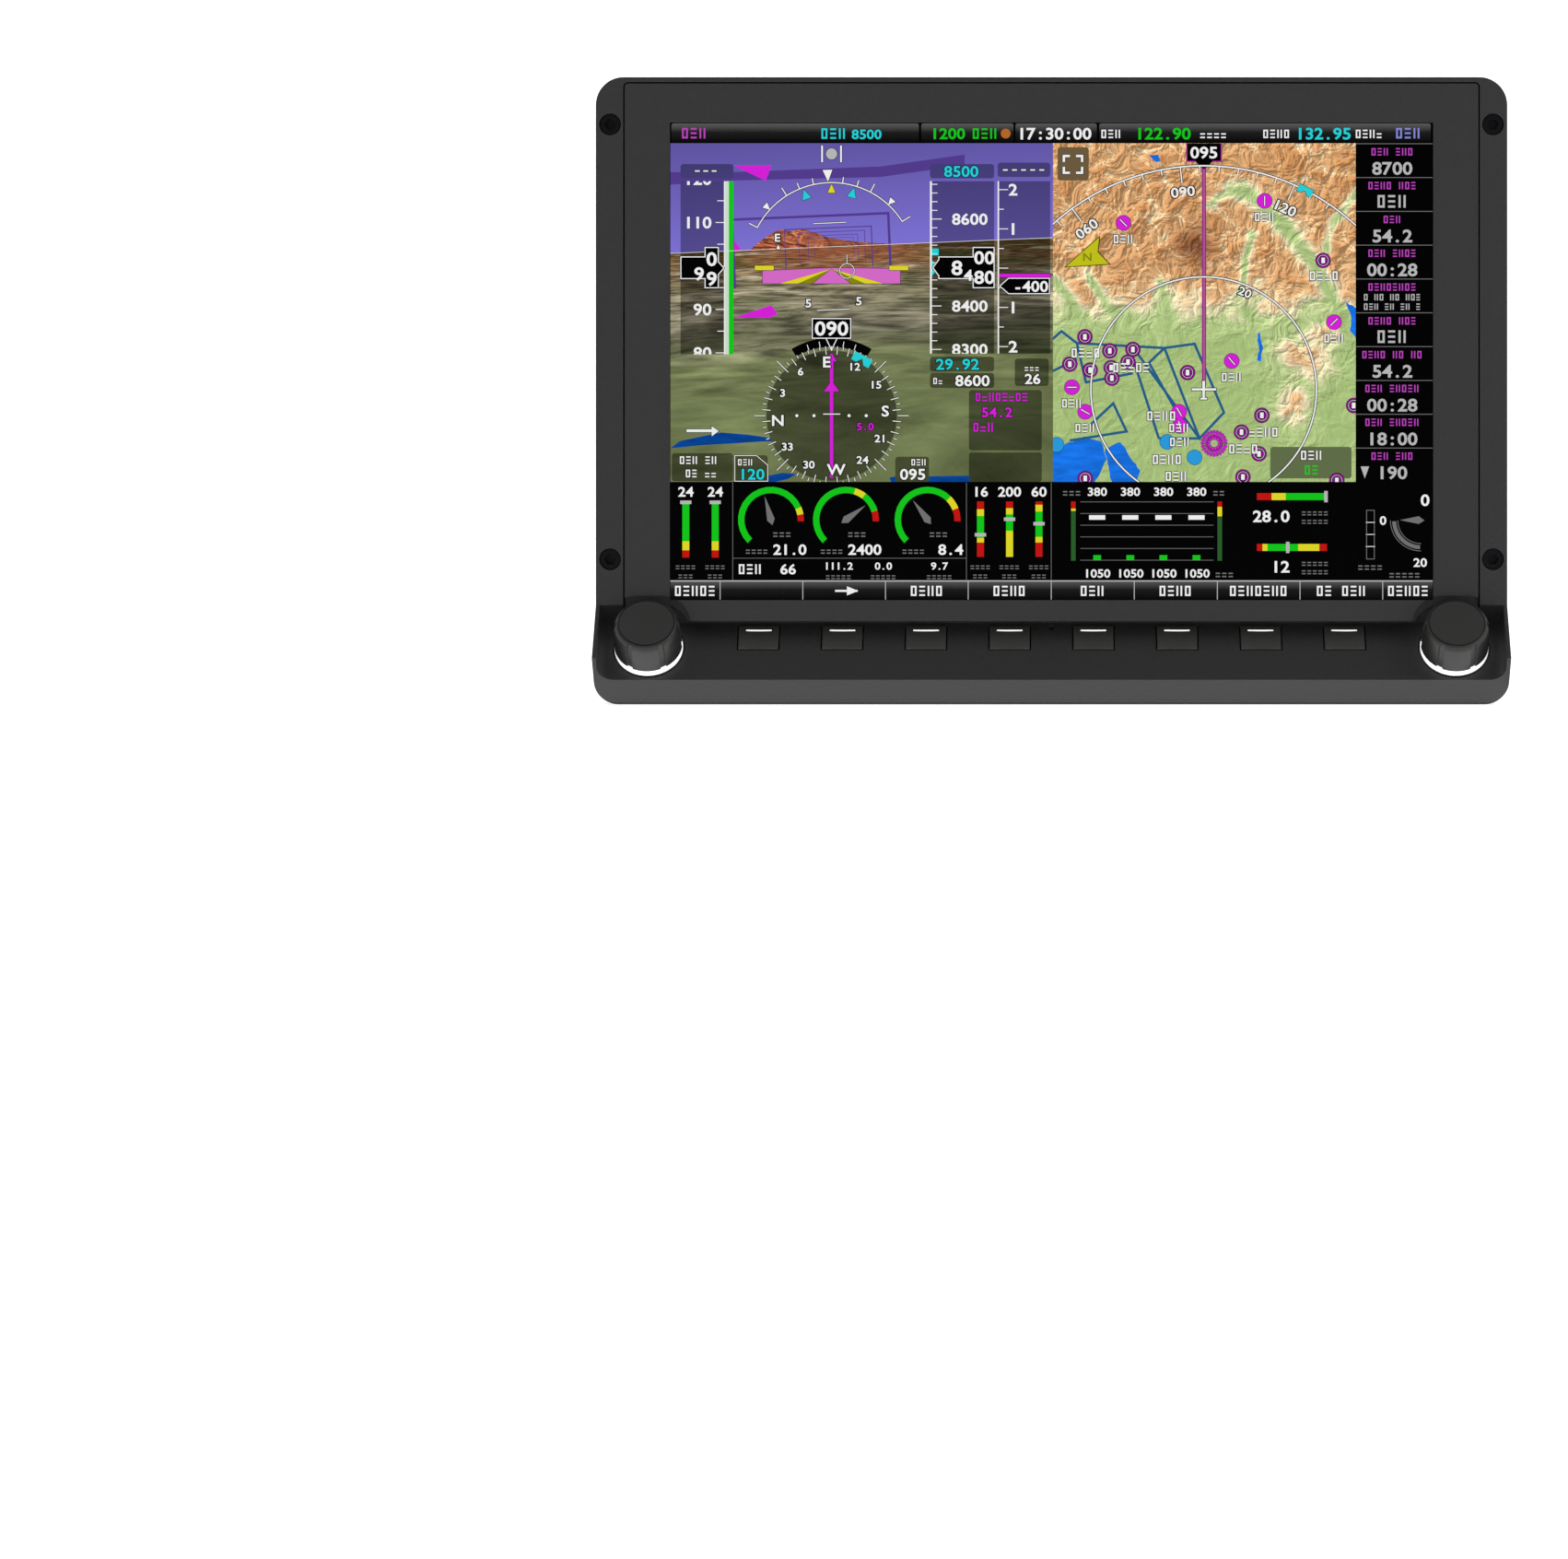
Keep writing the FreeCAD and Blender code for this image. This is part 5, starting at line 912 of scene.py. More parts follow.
def draw_dim_panels():
    """Smoked panels behind the tapes, the rose and the small read-outs."""
    smoked_sky = Sheet("smoked_sky", sky("smoked_sky", 0.42), SMOKE, VIEW_BOX)
    smoked_ground = Sheet("smoked_ground", ground("smoked_ground", 0.34), SMOKE, VIEW_BOX)
    tapes = ((2.9, 16.6, 15.5, 66.0), (74.8, 16.6, 92.4, 65.8), (93.8, 16.6, 108.4, 65.8))
    boxes = ((2.9, 11.7, 18.0, 15.8), (74.1, 11.7, 92.4, 15.8), (93.4, 11.3, 108.4, 15.4),
             (74.1, 66.7, 92.4, 70.9), (74.1, 71.3, 92.4, 75.6), (98.3, 67.2, 108.0, 75.0),
             (85.2, 76.2, 106.0, 93.4), (85.2, 94.0, 106.0, 102.4), (0.4, 94.2, 17.9, 102.2),
             (18.4, 94.8, 27.8, 102.4), (64.2, 95.2, 73.8, 102.4))
    panels = [box_outline(*tape) for tape in tapes] + [soft_box(*box) for box in boxes]
    for outline in panels + [disc(ROSE_MIDDLE, 18.6, 64)]:
        over = above_horizon(outline)
        under = below_horizon(outline)
        if len(over) > 2:
            smoked_sky.shape(over)
        if len(under) > 2:
            smoked_ground.shape(under)


def arrow(centre, radius, angle, length, width):
    """A small triangle on a dial whose tip touches the radius from outside."""
    tip = on_circle(centre, radius, angle)
    spread = math.degrees(width / 2 / (radius + length))
    return [tip] + arc(centre, radius + length, angle - spread, angle + spread, 1)


def draw_roll_scale(white, yellow, cyan):
    radius = 23.9
    bank = -2.4
    white.stroke(arc(VIEW_MIDDLE, radius, bank - 60, bank + 60, 40), 0.3)
    for angle in (-60, -30, -20, -10, 10, 20, 30, 60):
        length = 2.6 if angle % 30 == 0 else 1.8
        white.ray(VIEW_MIDDLE, radius, radius + length, bank + angle, 0.3)
    for angle in (-45, 45):
        white.shape(arrow(VIEW_MIDDLE, radius, bank + angle, 2.0, 2.0))
    white.shape(arrow(VIEW_MIDDLE, radius + 0.3, bank, 3.4, 2.8))
    yellow.shape([(46.0, 17.4), (47.1, 19.9), (44.9, 19.9)])
    for angle in (-20, 16):
        cyan.shape(turned([(46.0, 17.6), (47.3, 20.4), (44.7, 20.4)], VIEW_MIDDLE, angle))
    for across in (43.3, 48.7):
        white.box(across - 0.25, 6.4, across + 0.25, 11.2)
    middle, level = VIEW_MIDDLE
    for offset in (-12.4, 12.4):
        line = [(middle - 4.6, level + offset), (middle + 4.6, level + offset)]
        white.stroke(turned(line, VIEW_MIDDLE, bank), 0.24)
    white.text("E", 30.6, 32.7, 2.2)
    white.shape([(30.8, 34.7), (31.4, 36.0), (30.2, 36.0)])
    white.text("5", 39.4, 51.4, 2.3)
    white.text("5", 53.8, 50.8, 2.3)


def draw_aircraft(yellow, olive, pink, white):
    """The fixed aircraft symbol under the steering bars."""
    pink.shape([(26.3, 42.2), (46.0, 41.3), (65.6, 41.6), (65.6, 45.8), (26.3, 45.8)])
    middle = VIEW_MIDDLE[0]
    yellow.box(middle - 21.9, 40.7, middle - 16.5, 42.0)
    yellow.box(middle + 16.5, 40.7, middle + 21.9, 42.0)
    for side in (-1, 1):
        yellow.shape([(middle, 41.6), (middle + side * 14.8, 45.8), (middle + side * 9.6, 45.8)])
        olive.shape([(middle, 41.6), (middle + side * 9.6, 45.8), (middle + side * 5.6, 45.8)])
    white.stroke(disc((50.4, 42.2), 2.1), 0.2, closed=True)
    white.stroke([(50.4, 37.6), (50.4, 40.1)], 0.2)


def draw_speed_tape(white, black, green, pale):
    pale.box(15.5, 16.6, 16.7, 66.0)
    green.box(16.7, 16.6, 18.0, 66.0)
    tape = Sheet("speed_tape_marks", WHITE, MARKS, (2.9, 16.6, 18.0, 66.0))
    per_knot = 1.24
    reading = 99.5
    for speed in range(80, 125, 5):
        down = 41.4 + (reading - speed) * per_knot
        tape.box(15.4 - (2.5 if speed % 10 == 0 else 2.0), down - 0.12, 15.4, down + 0.12)
        if speed % 10 == 0:
            tape.text(str(speed), 11.8, down, 3.2, align=1.0)
    tape.box(15.3, 16.6, 15.65, 66.0)
    outline = [(3.0, 38.2), (9.9, 38.2), (9.9, 35.5), (13.7, 35.5), (13.7, 39.6), (15.3, 41.4),
               (13.7, 43.2), (13.7, 47.0), (9.9, 47.0), (9.9, 44.4), (3.0, 44.4)]
    for left, top, right, bottom in ((3.0, 38.2, 9.9, 44.4), (9.9, 35.5, 13.7, 47.0)):
        black.box(left, top, right, bottom)
    black.shape([(13.7, 39.6), (15.3, 41.4), (13.7, 43.2)])
    white.stroke(outline, 0.28, closed=True)
    digits = Sheet("speed_digits", WHITE, WRITING, (3.0, 35.8, 13.6, 46.8))
    digits.text("9", 8.2, 43.0, 3.6)
    digits.text("0", 11.8, 38.8, 3.8)
    digits.text("9", 11.8, 44.4, 3.8)


def draw_height_tape(white, black, cyan, magenta):
    tape = Sheet("height_tape_marks", WHITE, MARKS, (74.0, 16.6, 108.4, 65.8))
    per_hundred = 12.4
    for step in range(-12, 12):
        down = 39.8 + step * per_hundred / 5
        tape.box(74.6, down - 0.12, 74.6 + (2.8 if step % 5 == 0 else 1.6), down + 0.12)
    for step, label in ((-1, "8600"), (1, "8400"), (2, "8300")):
        tape.text(label, 90.6, 39.8 + step * per_hundred, 3.1, align=1.0)
    tape.box(74.1, 16.6, 74.6, 65.8)
    tape.box(93.4, 16.6, 93.8, 65.8)
    for step in range(-4, 5):
        down = 41.4 + step * 5.6
        tape.box(93.8, down - 0.12, 93.8 + (2.6 if step % 2 == 0 else 1.4), down + 0.12)
        if step in (-4, -2, 2, 4):
            tape.text(str(abs(step) // 2), 97.8, down, 3.2)
    magenta.box(93.9, 43.0, 108.4, 44.0)
    draw_height_boxes(white, black, cyan)


def draw_height_boxes(white, black, cyan):
    """The height and climb read-outs, each in a box that points at its tape."""
    cyan.box(74.6, 35.8, 76.6, 37.8)
    cyan.shape([(74.6, 39.0), (76.4, 41.4), (74.6, 43.8)])
    for left, top, right, bottom in ((76.6, 38.2, 86.4, 44.4), (86.4, 35.5, 92.4, 47.0)):
        black.box(left, top, right, bottom)
    black.shape([(76.6, 38.6), (74.9, 41.3), (76.6, 44.0)])
    white.stroke([(76.6, 38.2), (86.4, 38.2), (86.4, 35.5), (92.4, 35.5), (92.4, 47.0),
                  (86.4, 47.0), (86.4, 44.4), (76.6, 44.4), (76.6, 43.6), (74.9, 41.3),
                  (76.6, 39.0)], 0.28, closed=True)
    black.box(96.5, 44.3, 108.3, 48.8)
    black.shape([(96.6, 44.3), (94.0, 46.5), (96.6, 48.8)])
    white.stroke([(96.5, 44.3), (108.2, 44.3), (108.2, 48.7), (96.5, 48.7), (94.0, 46.5)],
                 0.26, closed=True)
    digits = Sheet("height_digits", WHITE, WRITING, (74.0, 35.8, 108.2, 48.6))
    digits.text("8", 81.8, 41.3, 4.0)
    digits.text("4", 85.0, 43.4, 3.0)
    digits.text("00", 89.6, 38.4, 3.6)
    digits.text("80", 89.6, 44.0, 3.6)
    digits.text("-400", 102.9, 46.6, 3.0)


ROSE_MIDDLE = (46.0, 83.5)
ROSE_RADIUS = 19.8


def draw_rose(white, black, magenta):
    """Compass rose with its course needle."""
    heading = 95
    marks = {0: "N", 90: "E", 180: "S", 270: "W"}
    for bearing in range(0, 360, 5):
        angle = bearing - heading
        long_mark = bearing % 10 == 0
        white.ray(ROSE_MIDDLE, ROSE_RADIUS - (2.3 if long_mark else 0.9), ROSE_RADIUS, angle, 0.24)
        if bearing % 30 == 0:
            across, down = on_circle(ROSE_MIDDLE, ROSE_RADIUS - 4.4, angle)
            label = marks.get(bearing, str(bearing // 10))
            white.text(label, across, down, 3.0 if bearing in marks else 2.1)
    for angle in (-135, -90, -45, 45, 90, 135):
        white.ray(ROSE_MIDDLE, ROSE_RADIUS - 0.4, ROSE_RADIUS + 2.2, angle, 0.24)
    for offset in (-9.9, -5.0, 5.0, 9.9):
        white.shape(disc((ROSE_MIDDLE[0] + offset, ROSE_MIDDLE[1]), 0.45, 12))
    white.box(43.6, 82.9, 48.5, 83.2)
    magenta.box(45.5, 66.0, 46.5, 101.2)
    magenta.shape([(46.0, 65.6), (47.5, 68.0), (44.5, 68.0)])
    magenta.shape([(46.0, 73.6), (48.2, 76.6), (43.8, 76.6)])
    draw_heading_box(white, black)


def draw_heading_box(white, black):
    """The number over the rose, the dark band under it and the heading bug."""
    black.band(ROSE_MIDDLE, ROSE_RADIUS - 0.2, ROSE_RADIUS + 2.4, -31, 31, 20)
    tick = Sheet("rose_arc_ticks", WHITE, TOPMOST)
    for angle in (-19, -9.5, 9.5, 19):
        tick.ray(ROSE_MIDDLE, ROSE_RADIUS, ROSE_RADIUS + 1.6, angle, 0.2)
    tick.stroke([(44.4, 61.4), (46.0, 64.8), (47.6, 61.4)], 0.26)
    black.box(40.5, 55.8, 51.5, 61.4)
    white.frame(40.5, 55.8, 51.5, 61.4, 0.28)
    number = Sheet("heading_digits", WHITE, WRITING)
    number.text("090", 46.0, 58.6, 3.9)
    bug = Sheet("heading_bug", CYAN, TOPMOST)
    bug.shape(turned([(43.2, 64.1), (48.8, 64.1), (48.8, 66.6), (47.2, 66.6), (46.0, 65.0),
                      (44.8, 66.6), (43.2, 66.6)], ROSE_MIDDLE, 28.4))


def draw_small_boxes(white, cyan, magenta):
    """Read-outs in the corners of the view: plain numbers and blocks for words."""
    for across in (7.0, 9.4, 11.8):
        white.box(across, 13.5, across + 1.4, 13.9)
    for across in (95.6, 98.2, 100.8, 103.4, 106.0):
        white.box(across - 0.7, 13.2, across + 0.7, 13.6)
    cyan.text("8500", 88.0, 13.8, 3.0, align=1.0)
    cyan.text("29.92", 88.2, 68.8, 3.0, align=1.0)
    white.text("8600", 91.2, 73.5, 3.0, align=1.0)
    white.word("#=", 76.4, 73.6, 1.8)
    white.word("===", 103.2, 69.8, 1.8)
    white.text("26", 103.4, 73.0, 2.8)
    magenta.word("#=###=##", 94.6, 78.2, 2.3)
    magenta.text("54.2", 93.2, 82.5, 2.7)
    magenta.word("#=#", 89.4, 86.8, 2.5)
    magenta.text("5.0", 55.6, 86.6, 2.0)
    white.word("### ##", 8.0, 96.2, 2.2)
    white.word("## ==", 8.8, 100.0, 2.2)
    white.word("###", 21.4, 96.8, 1.8)
    cyan.text("120", 23.2, 100.2, 3.0)
    white.word("###", 70.9, 96.8, 1.8)
    white.text("095", 69.2, 100.2, 3.0)
    white.stroke([(18.4, 94.9), (24.6, 94.9), (27.8, 97.6), (27.8, 102.2), (18.4, 102.2)],
                 0.2, closed=True)
    white.box(4.6, 87.4, 12.4, 88.2)
    white.shape([(11.8, 86.5), (13.8, 87.9), (11.8, 89.4)])


def draw_attitude_view():
    draw_backdrop()
    draw_gates()
    draw_dim_panels()
    white = Sheet("view_white_marks", WHITE, WRITING, VIEW_BOX, 0.16)
    black = Sheet("view_black_boxes", BLACK, BOXES, VIEW_BOX)
    yellow = Sheet("view_yellow_marks", YELLOW, MARKS, VIEW_BOX, 0.14)
    olive = Sheet("view_olive_marks", OLIVE, MARKS, VIEW_BOX, 0.14)
    cyan = Sheet("view_cyan_marks", CYAN, MARKS, VIEW_BOX, 0.12)
    magenta = Sheet("view_magenta_marks", MAGENTA, MARKS, VIEW_BOX, 0.12)
    pink = Sheet("steering_bars", PINK, STEERING, VIEW_BOX, 0.12)
    green = Sheet("speed_green_band", GREEN, BANDS, VIEW_BOX)
    pale = Sheet("speed_pale_band", PALE_GREEN, BANDS, VIEW_BOX)
    draw_roll_scale(white, yellow, cyan)
    draw_aircraft(yellow, olive, pink, white)
    draw_speed_tape(white, black, green, pale)
    draw_height_tape(white, black, cyan, magenta)
    draw_rose(white, black, magenta)
    draw_small_boxes(white, cyan, magenta)
    ball = Sheet("slip_ball", SILVER, MARKS, VIEW_BOX, 0.14)
    ball.shape(disc((46.0, 8.8), 1.6))


# ------------------------------------------------------------------ the picture: moving map
MAP_BOX = (109.2, 5.75, 195.6, 102.4)
SHIP = (152.2, 76.1)
VALLEYS = (
    ([(160, 18.5), (166, 20.5), (170, 24), (176, 30), (182, 38), (187, 46), (191, 54), (194, 60)],
     3.2),
    ([(196, 20), (190, 27), (187.5, 34), (186.5, 40)], 1.6),
    ([(153, 24), (157, 21), (162, 19.5)], 1.2),
    ([(166, 32), (164, 41), (163, 50), (166, 58)], 1.7),
    ([(109, 44), (114, 50), (117, 60)], 2.6), ([(119, 42), (124, 52), (132, 57)], 1.8),
    ([(140, 46), (142, 54), (143, 60)], 2.0))
HILLS = (((181, 66), 9.5, 9.0), ((178, 80), 5.5, 8.0), ((187, 60), 7.0, 5.0),
         ((171, 52), 6.5, 5.5), ((118, 46), 7.0, 6.5))


def distance_to_path(point, path):
    nearest = 1e9
    for start, end in zip(path, path[1:]):
        way = Vector(end) - Vector(start)
        share = max(0.0, min(1.0, (point - Vector(start)).dot(way) / way.length_squared))
        nearest = min(nearest, (point - Vector(start) - way * share).length)
    return nearest


def land_rise(across, down):
    """How high the land is, 0 for lowland and 1 for the highest ranges."""
    wobble = 4.0 * noise.noise(Vector((across, down, 0)) * 0.11)
    rise = 0.92 / (1 + math.exp((down + wobble - 53.0) / 3.2))
    for (middle_x, middle_y), wide, tall in HILLS:
        away = ((across - middle_x) / wide) ** 2 + ((down - middle_y) / tall) ** 2
        rise = max(rise, 0.74 * math.exp(-away))
    for path, wide in VALLEYS:
        off = distance_to_path(Vector((across, down)), path) + 0.6 * abs(wobble)
        rise -= (rise - 0.08) * math.exp(-(off / wide) ** 2)
    return rise


def land_peak(across, down):
    away = Vector((across - 149.5, down - 35.0)).length
    return 0.85 * math.exp(-(away / 5.5) ** 2)


def make_map_land():
    """A fine grid that carries the height of the land for its material."""
    left, top, right, bottom = MAP_BOX
    columns = 88
    rows = 98
    grid = bmesh.new()
    rise = grid.verts.layers.float.new("rise")
    peak = grid.verts.layers.float.new("peak")
    points = []
    for row in range(rows + 1):
        for column in range(columns + 1):
            across = left + (right - left) * column / columns
            down = top + (bottom - top) * row / rows
            vertex = grid.verts.new(spot(across, down, SCENERY))
            vertex[rise] = land_rise(across, down)
            vertex[peak] = land_peak(across, down)
            points.append(vertex)
    for row in range(rows):
        for column in range(columns):
            start = row * (columns + 1) + column
            below = start + columns + 1
            grid.faces.new([points[start], points[below], points[below + 1], points[start + 1]])
    sheet = Sheet("map_land", relief_map("map_land"), SCENERY)
    sheet.mesh.free()
    sheet.mesh = grid


def wavy(points, size=1.2, reach=0.8):
    """A closed outline with uneven, coast-like edges."""
    rough = []
    for start, end in zip(points, points[1:] + points[:1]):
        way = Vector(end) - Vector(start)
        count = max(1, int(way.length / size))
        for step in range(count):
            here = Vector(start) + way * step / count
            push = noise.noise_vector(Vector((here.x, here.y, 0.3)) * 0.7) * reach
            rough.append((here.x + push.x, here.y + push.y))
    return rough


COAST_SEED = 3


def draw_map_water():
    noise.seed_set(COAST_SEED)
    sea = Sheet("map_water", water("map_water", tone(24, 116, 232)), PATCHES, MAP_BOX)
    for outline in (
            [(112, 92), (118, 89.5), (123, 91), (124.5, 96), (121, 103), (108, 103), (108, 99)],
            [(124, 93), (128.5, 91), (131, 95), (134, 99), (133, 103), (126, 103)],
            [(168.2, 60), (169, 64), (168.6, 68), (167.6, 68), (168, 64), (167.4, 60)],
            [(192.6, 51), (196, 53), (196, 62), (194, 59), (194.4, 55)],
            [(136.6, 9.2), (139.2, 9.0), (140, 11), (138.6, 11.2)],
            [(108.6, 94), (111, 93), (111.5, 97), (108.6, 98)]):
        sea.shape(wavy(outline, 1.0, 0.5))


def draw_airspace():
    lines = Sheet("airspace_lines", BLUE, SMOKE, MAP_BOX)
    paths = (
        [(108.7, 62), (111.6, 59.4), (116, 62.8), (141, 64.2), (149.6, 63.0), (158, 82.6),
         (151, 90), (132, 64)],
        [(141, 64.2), (136.6, 68.4), (145.4, 84)], [(141, 64.2), (151, 90), (139.4, 90)],
        [(131, 64), (139.4, 90)], [(116, 62.8), (118.6, 74), (132, 71.4)],
        [(120, 86), (126.4, 80), (130.2, 88), (114, 90.6)], [(108.7, 71), (116, 67.4)])
    for path in paths:
        lines.stroke(path, 0.75)


def draw_map_rings(white):
    white.stroke(disc(SHIP, 32.2, 96), 0.42, closed=True)
    white.stroke(arc(SHIP, 63.9, -46, 46, 64), 0.42)
    for step in range(-8, 9):
        angle = -6.0 + step * 5
        white.ray(SHIP, 63.9 - (4.6 if step % 6 == 0 else 1.6), 63.9, angle, 0.35)
    for angle, label in ((-36, "060"), (-6, "090"), (24, "120")):
        across, down = on_circle(SHIP, 56.8, angle)
        white.text(label, across, down, 2.8, turn=angle)
    across, down = on_circle(SHIP, 30.2, 23)
    white.text("20", across, down, 2.3, turn=23)
    white.box(148.8, 75.7, 155.8, 76.3)
    white.shape([(151.8, 73.6), (152.6, 73.6), (152.5, 78.6), (151.9, 78.6)])
    white.box(151.2, 78.4, 153.2, 78.9)


def draw_map_symbols(white, magenta, purple):
    """Airfield markers with a plain block row under each."""
    fields = ((129.3, 28.5, 45), (169.6, 22.2, 90), (189.4, 56.8, 135), (160.2, 67.9, 50),
              (145.2, 82.4, 60), (145.4, 86.4, 75), (114.6, 75.4, 0), (118.4, 82.4, 30))
    for across, down, turn in fields:
        magenta.shape(disc((across, down), 2.1, 28))
        runway = [(across - 1.3, down), (across + 1.3, down)]
        white.stroke(turned(runway, (across, down), turn), 0.3)
        white.word("###", across, down + 4.6, 2.4)
    private = ((186.3, 39.2), (118.3, 61.0), (125.4, 65.0), (132.0, 64.6), (130.6, 68.2),
               (114.0, 68.8), (119.8, 70.5), (125.8, 69.8), (126.0, 72.8), (147.6, 71.2),
               (168.8, 83.4), (163.0, 88.2), (168.0, 94.4), (118.4, 101.4), (195.0, 80.6),
               (163.4, 101.0), (190.2, 102.0))
    for centre in private:
        purple.shape(disc(centre, 2.1, 28))
        white.stroke(disc(centre, 1.5, 20), 0.12, closed=True)
        white.box(centre[0] - 0.5, centre[1] - 0.8, centre[0] + 0.5, centre[1] + 0.8)
    for pattern, across, down in (("##=#", 186.6, 43.6), ("##=#", 118.6, 65.6),
                                  ("##=##", 131.6, 69.8), ("####", 140.2, 83.6),
                                  ("=###", 169.4, 88.2), ("##=#", 163.6, 93.0),
                                  ("####", 141.8, 96.0), ("###", 144.4, 100.8)):
        white.word(pattern, across, down, 2.6)


def draw_traffic_circle(magenta, azure):
    for step in range(0, 360, 15):
        magenta.ray((155.2, 91.4), 1.0 + (step % 30) / 30, 3.9, step, 0.3)
    magenta.stroke(disc((155.2, 91.4), 3.3, 28), 0.25, closed=True)
    for centre in ((141.8, 91.0), (149.6, 95.4), (110.2, 91.8)):
        azure.shape(disc(centre, 2.1, 28))


def draw_north_arrow():
    outline = Sheet("north_arrow_edge", BLACK, MARKS)
    fill = Sheet("north_arrow", GOLD, BOXES)
    corners = [(112.8, 41.0), (122.4, 32.6), (121.9, 36.8), (125.2, 40.2)]
    fill.shape(corners)
    outline.stroke(corners, 0.5, closed=True)
    letter = Sheet("north_letter", OLIVE, WRITING)
    letter.text("N", 119.0, 38.2, 2.2)


def draw_map_boxes(white, black, magenta):
    black.box(147.5, 5.8, 157.1, 10.8)
    black.shape([(149.8, 10.8), (154.8, 10.8), (152.3, 13.2)])
    magenta.stroke([(147.5, 5.8), (147.5, 10.8), (150.2, 10.8), (152.3, 13.2), (154.4, 10.8),
                    (157.1, 10.8), (157.1, 5.8)], 0.3)
    digits = Sheet("course_digits", WHITE, WRITING)
    digits.text("095", 152.3, 8.4, 3.2)
    shade = Sheet("map_smoked_boxes", MAP_SHADE, SMOKE, MAP_BOX)
    shade.shape(soft_box(110.5, 6.9, 119.4, 16.4))
    green = Sheet("map_status_box", GREEN_SHADE, SMOKE, MAP_BOX)
    green.shape(soft_box(171.2, 92.4, 194.4, 101.4))
    for across, down, right, lower in ((112.3, 9.4, 1, 1), (117.5, 9.4, -1, 1),
                                       (112.3, 14.2, 1, -1), (117.5, 14.2, -1, -1)):
        white.stroke([(across + 1.7 * right, down), (across, down),
                      (across, down + 1.7 * lower)], 0.7)
    white.word("###", 183.0, 94.8, 2.6)


def draw_moving_map():
    make_map_land()
    draw_map_water()
    draw_airspace()
    track = Sheet("course_line", TRACK, MARKS, MAP_BOX)
    track.box(152.0, 12.4, 152.6, 75.0)
    edge = Sheet("course_line_edges", PURPLE, BANDS, MAP_BOX)
    edge.box(151.7, 12.4, 152.9, 75.0)
    white = Sheet("map_white_marks", WHITE, WRITING, MAP_BOX, 0.2)
    black = Sheet("map_black_boxes", BLACK, BOXES, MAP_BOX)
    magenta = Sheet("map_magenta_marks", MAGENTA, AIRFIELDS, MAP_BOX, 0.14)
    purple = Sheet("map_purple_marks", PURPLE, MARKS, MAP_BOX, 0.14)
    azure = Sheet("map_azure_marks", AZURE, TRAFFIC, MAP_BOX, 0.12)
    cyan = Sheet("map_cyan_bug", CYAN, TOPMOST, MAP_BOX, 0.14)
    cyan.shape(turned([(150.0, 11.2), (154.4, 11.2), (154.4, 13.4), (153.2, 13.4), (152.2, 12.2),
                       (151.2, 13.4), (150.0, 13.4)], SHIP, 27))
    draw_map_rings(white)
    draw_map_symbols(white, magenta, purple)
    draw_traffic_circle(magenta, azure)
    draw_north_arrow()
    draw_map_boxes(white, black, magenta)
    green = Sheet("map_green_word", GREEN, WRITING, MAP_BOX)
    green.word("##", 183.0, 99.0, 2.6)


# ------------------------------------------------------------------ the picture: edges
def draw_data_column():
    left, right = 195.7, WIDE
    row_high = 9.65
    top = 5.9
    lines = Sheet("column_lines", GREY, PATCHES)
    labels = Sheet("column_labels", ORCHID, PATCHES)
    values = Sheet("column_values", SILVER, PATCHES)
    rows = (("### ###", "8700"), ("#### ###", "4"), ("###", "54.2"), ("### ####", "00:28"),
            ("########", ""), ("#### ###", "4"), ("#### ## ##", "54.2"), ("### #####", "00:28"),
            ("### #####", "18:00"), ("### ###", "190"))
    middle = (left + right) / 2 - 0.6
    for index, (label, value) in enumerate(rows):
        row_top = top + index * row_high
        lines.box(left, row_top - 0.1, right, row_top + 0.1)
        labels.word(label, middle, row_top + 2.3, 2.1)
        if len(value) > 1:
            values.text(value, middle, row_top + 7.0, 3.5)
        elif value:
            values.word("###", middle, row_top + 6.8, 3.6)
        else:
            values.word("# ## ## ###", middle, row_top + 5.2, 1.8)
            values.word("### ## ## #", middle, row_top + 7.9, 1.8)
    values.shape([(197.0, 98.0), (199.4, 98.0), (198.2, 101.4)])


def draw_top_bar():
    finish = shaded_bar("top_bar", 0.1, 5.7, tone(92, 92, 92), tone(2, 2, 2))
    bar = Sheet("top_bar", finish, SCENERY)
    for left, right in ((0.3, 70.9), (71.6, 97.9), (98.5, 121.7), (122.4, 217.0)):
        bar.shape(soft_box(left, 0.1, right, 5.7, 0.6))
    magenta = Sheet("bar_magenta_word", ORCHID, PATCHES)
    magenta.word("###", 6.8, 2.9, 3.0)
    cyan = Sheet("bar_cyan_numbers", CYAN, PATCHES)
    cyan.text("8500", 56.0, 3.2, 2.6)
    cyan.word("###", 46.6, 3.0, 3.0)
    cyan.text("132.95", 186.4, 3.0, 3.2)
    green = Sheet("bar_green_numbers", GREEN, PATCHES)
    green.text("1200", 79.2, 3.0, 3.0)
    green.word("###", 89.8, 3.0, 3.0)
    green.text("122.90", 140.6, 3.0, 3.2)
    white = Sheet("bar_white_numbers", WHITE, PATCHES)
    white.text("17:30:00", 109.6, 3.0, 3.2)
    for pattern, across in (("###", 125.8), ("====", 155.0), ("####", 173.0), ("###=", 199.4)):
        white.word(pattern, across, 3.1, 2.4)
    orange = Sheet("bar_orange_dot", plain("lit_orange", tone(190, 106, 40)), PATCHES)
    orange.shape(disc((95.7, 3.0), 1.4))
    violet = Sheet("bar_violet_word", plain("lit_violet", tone(138, 140, 220)), PATCHES)
    violet.word("###", 210.6, 2.9, 3.0)


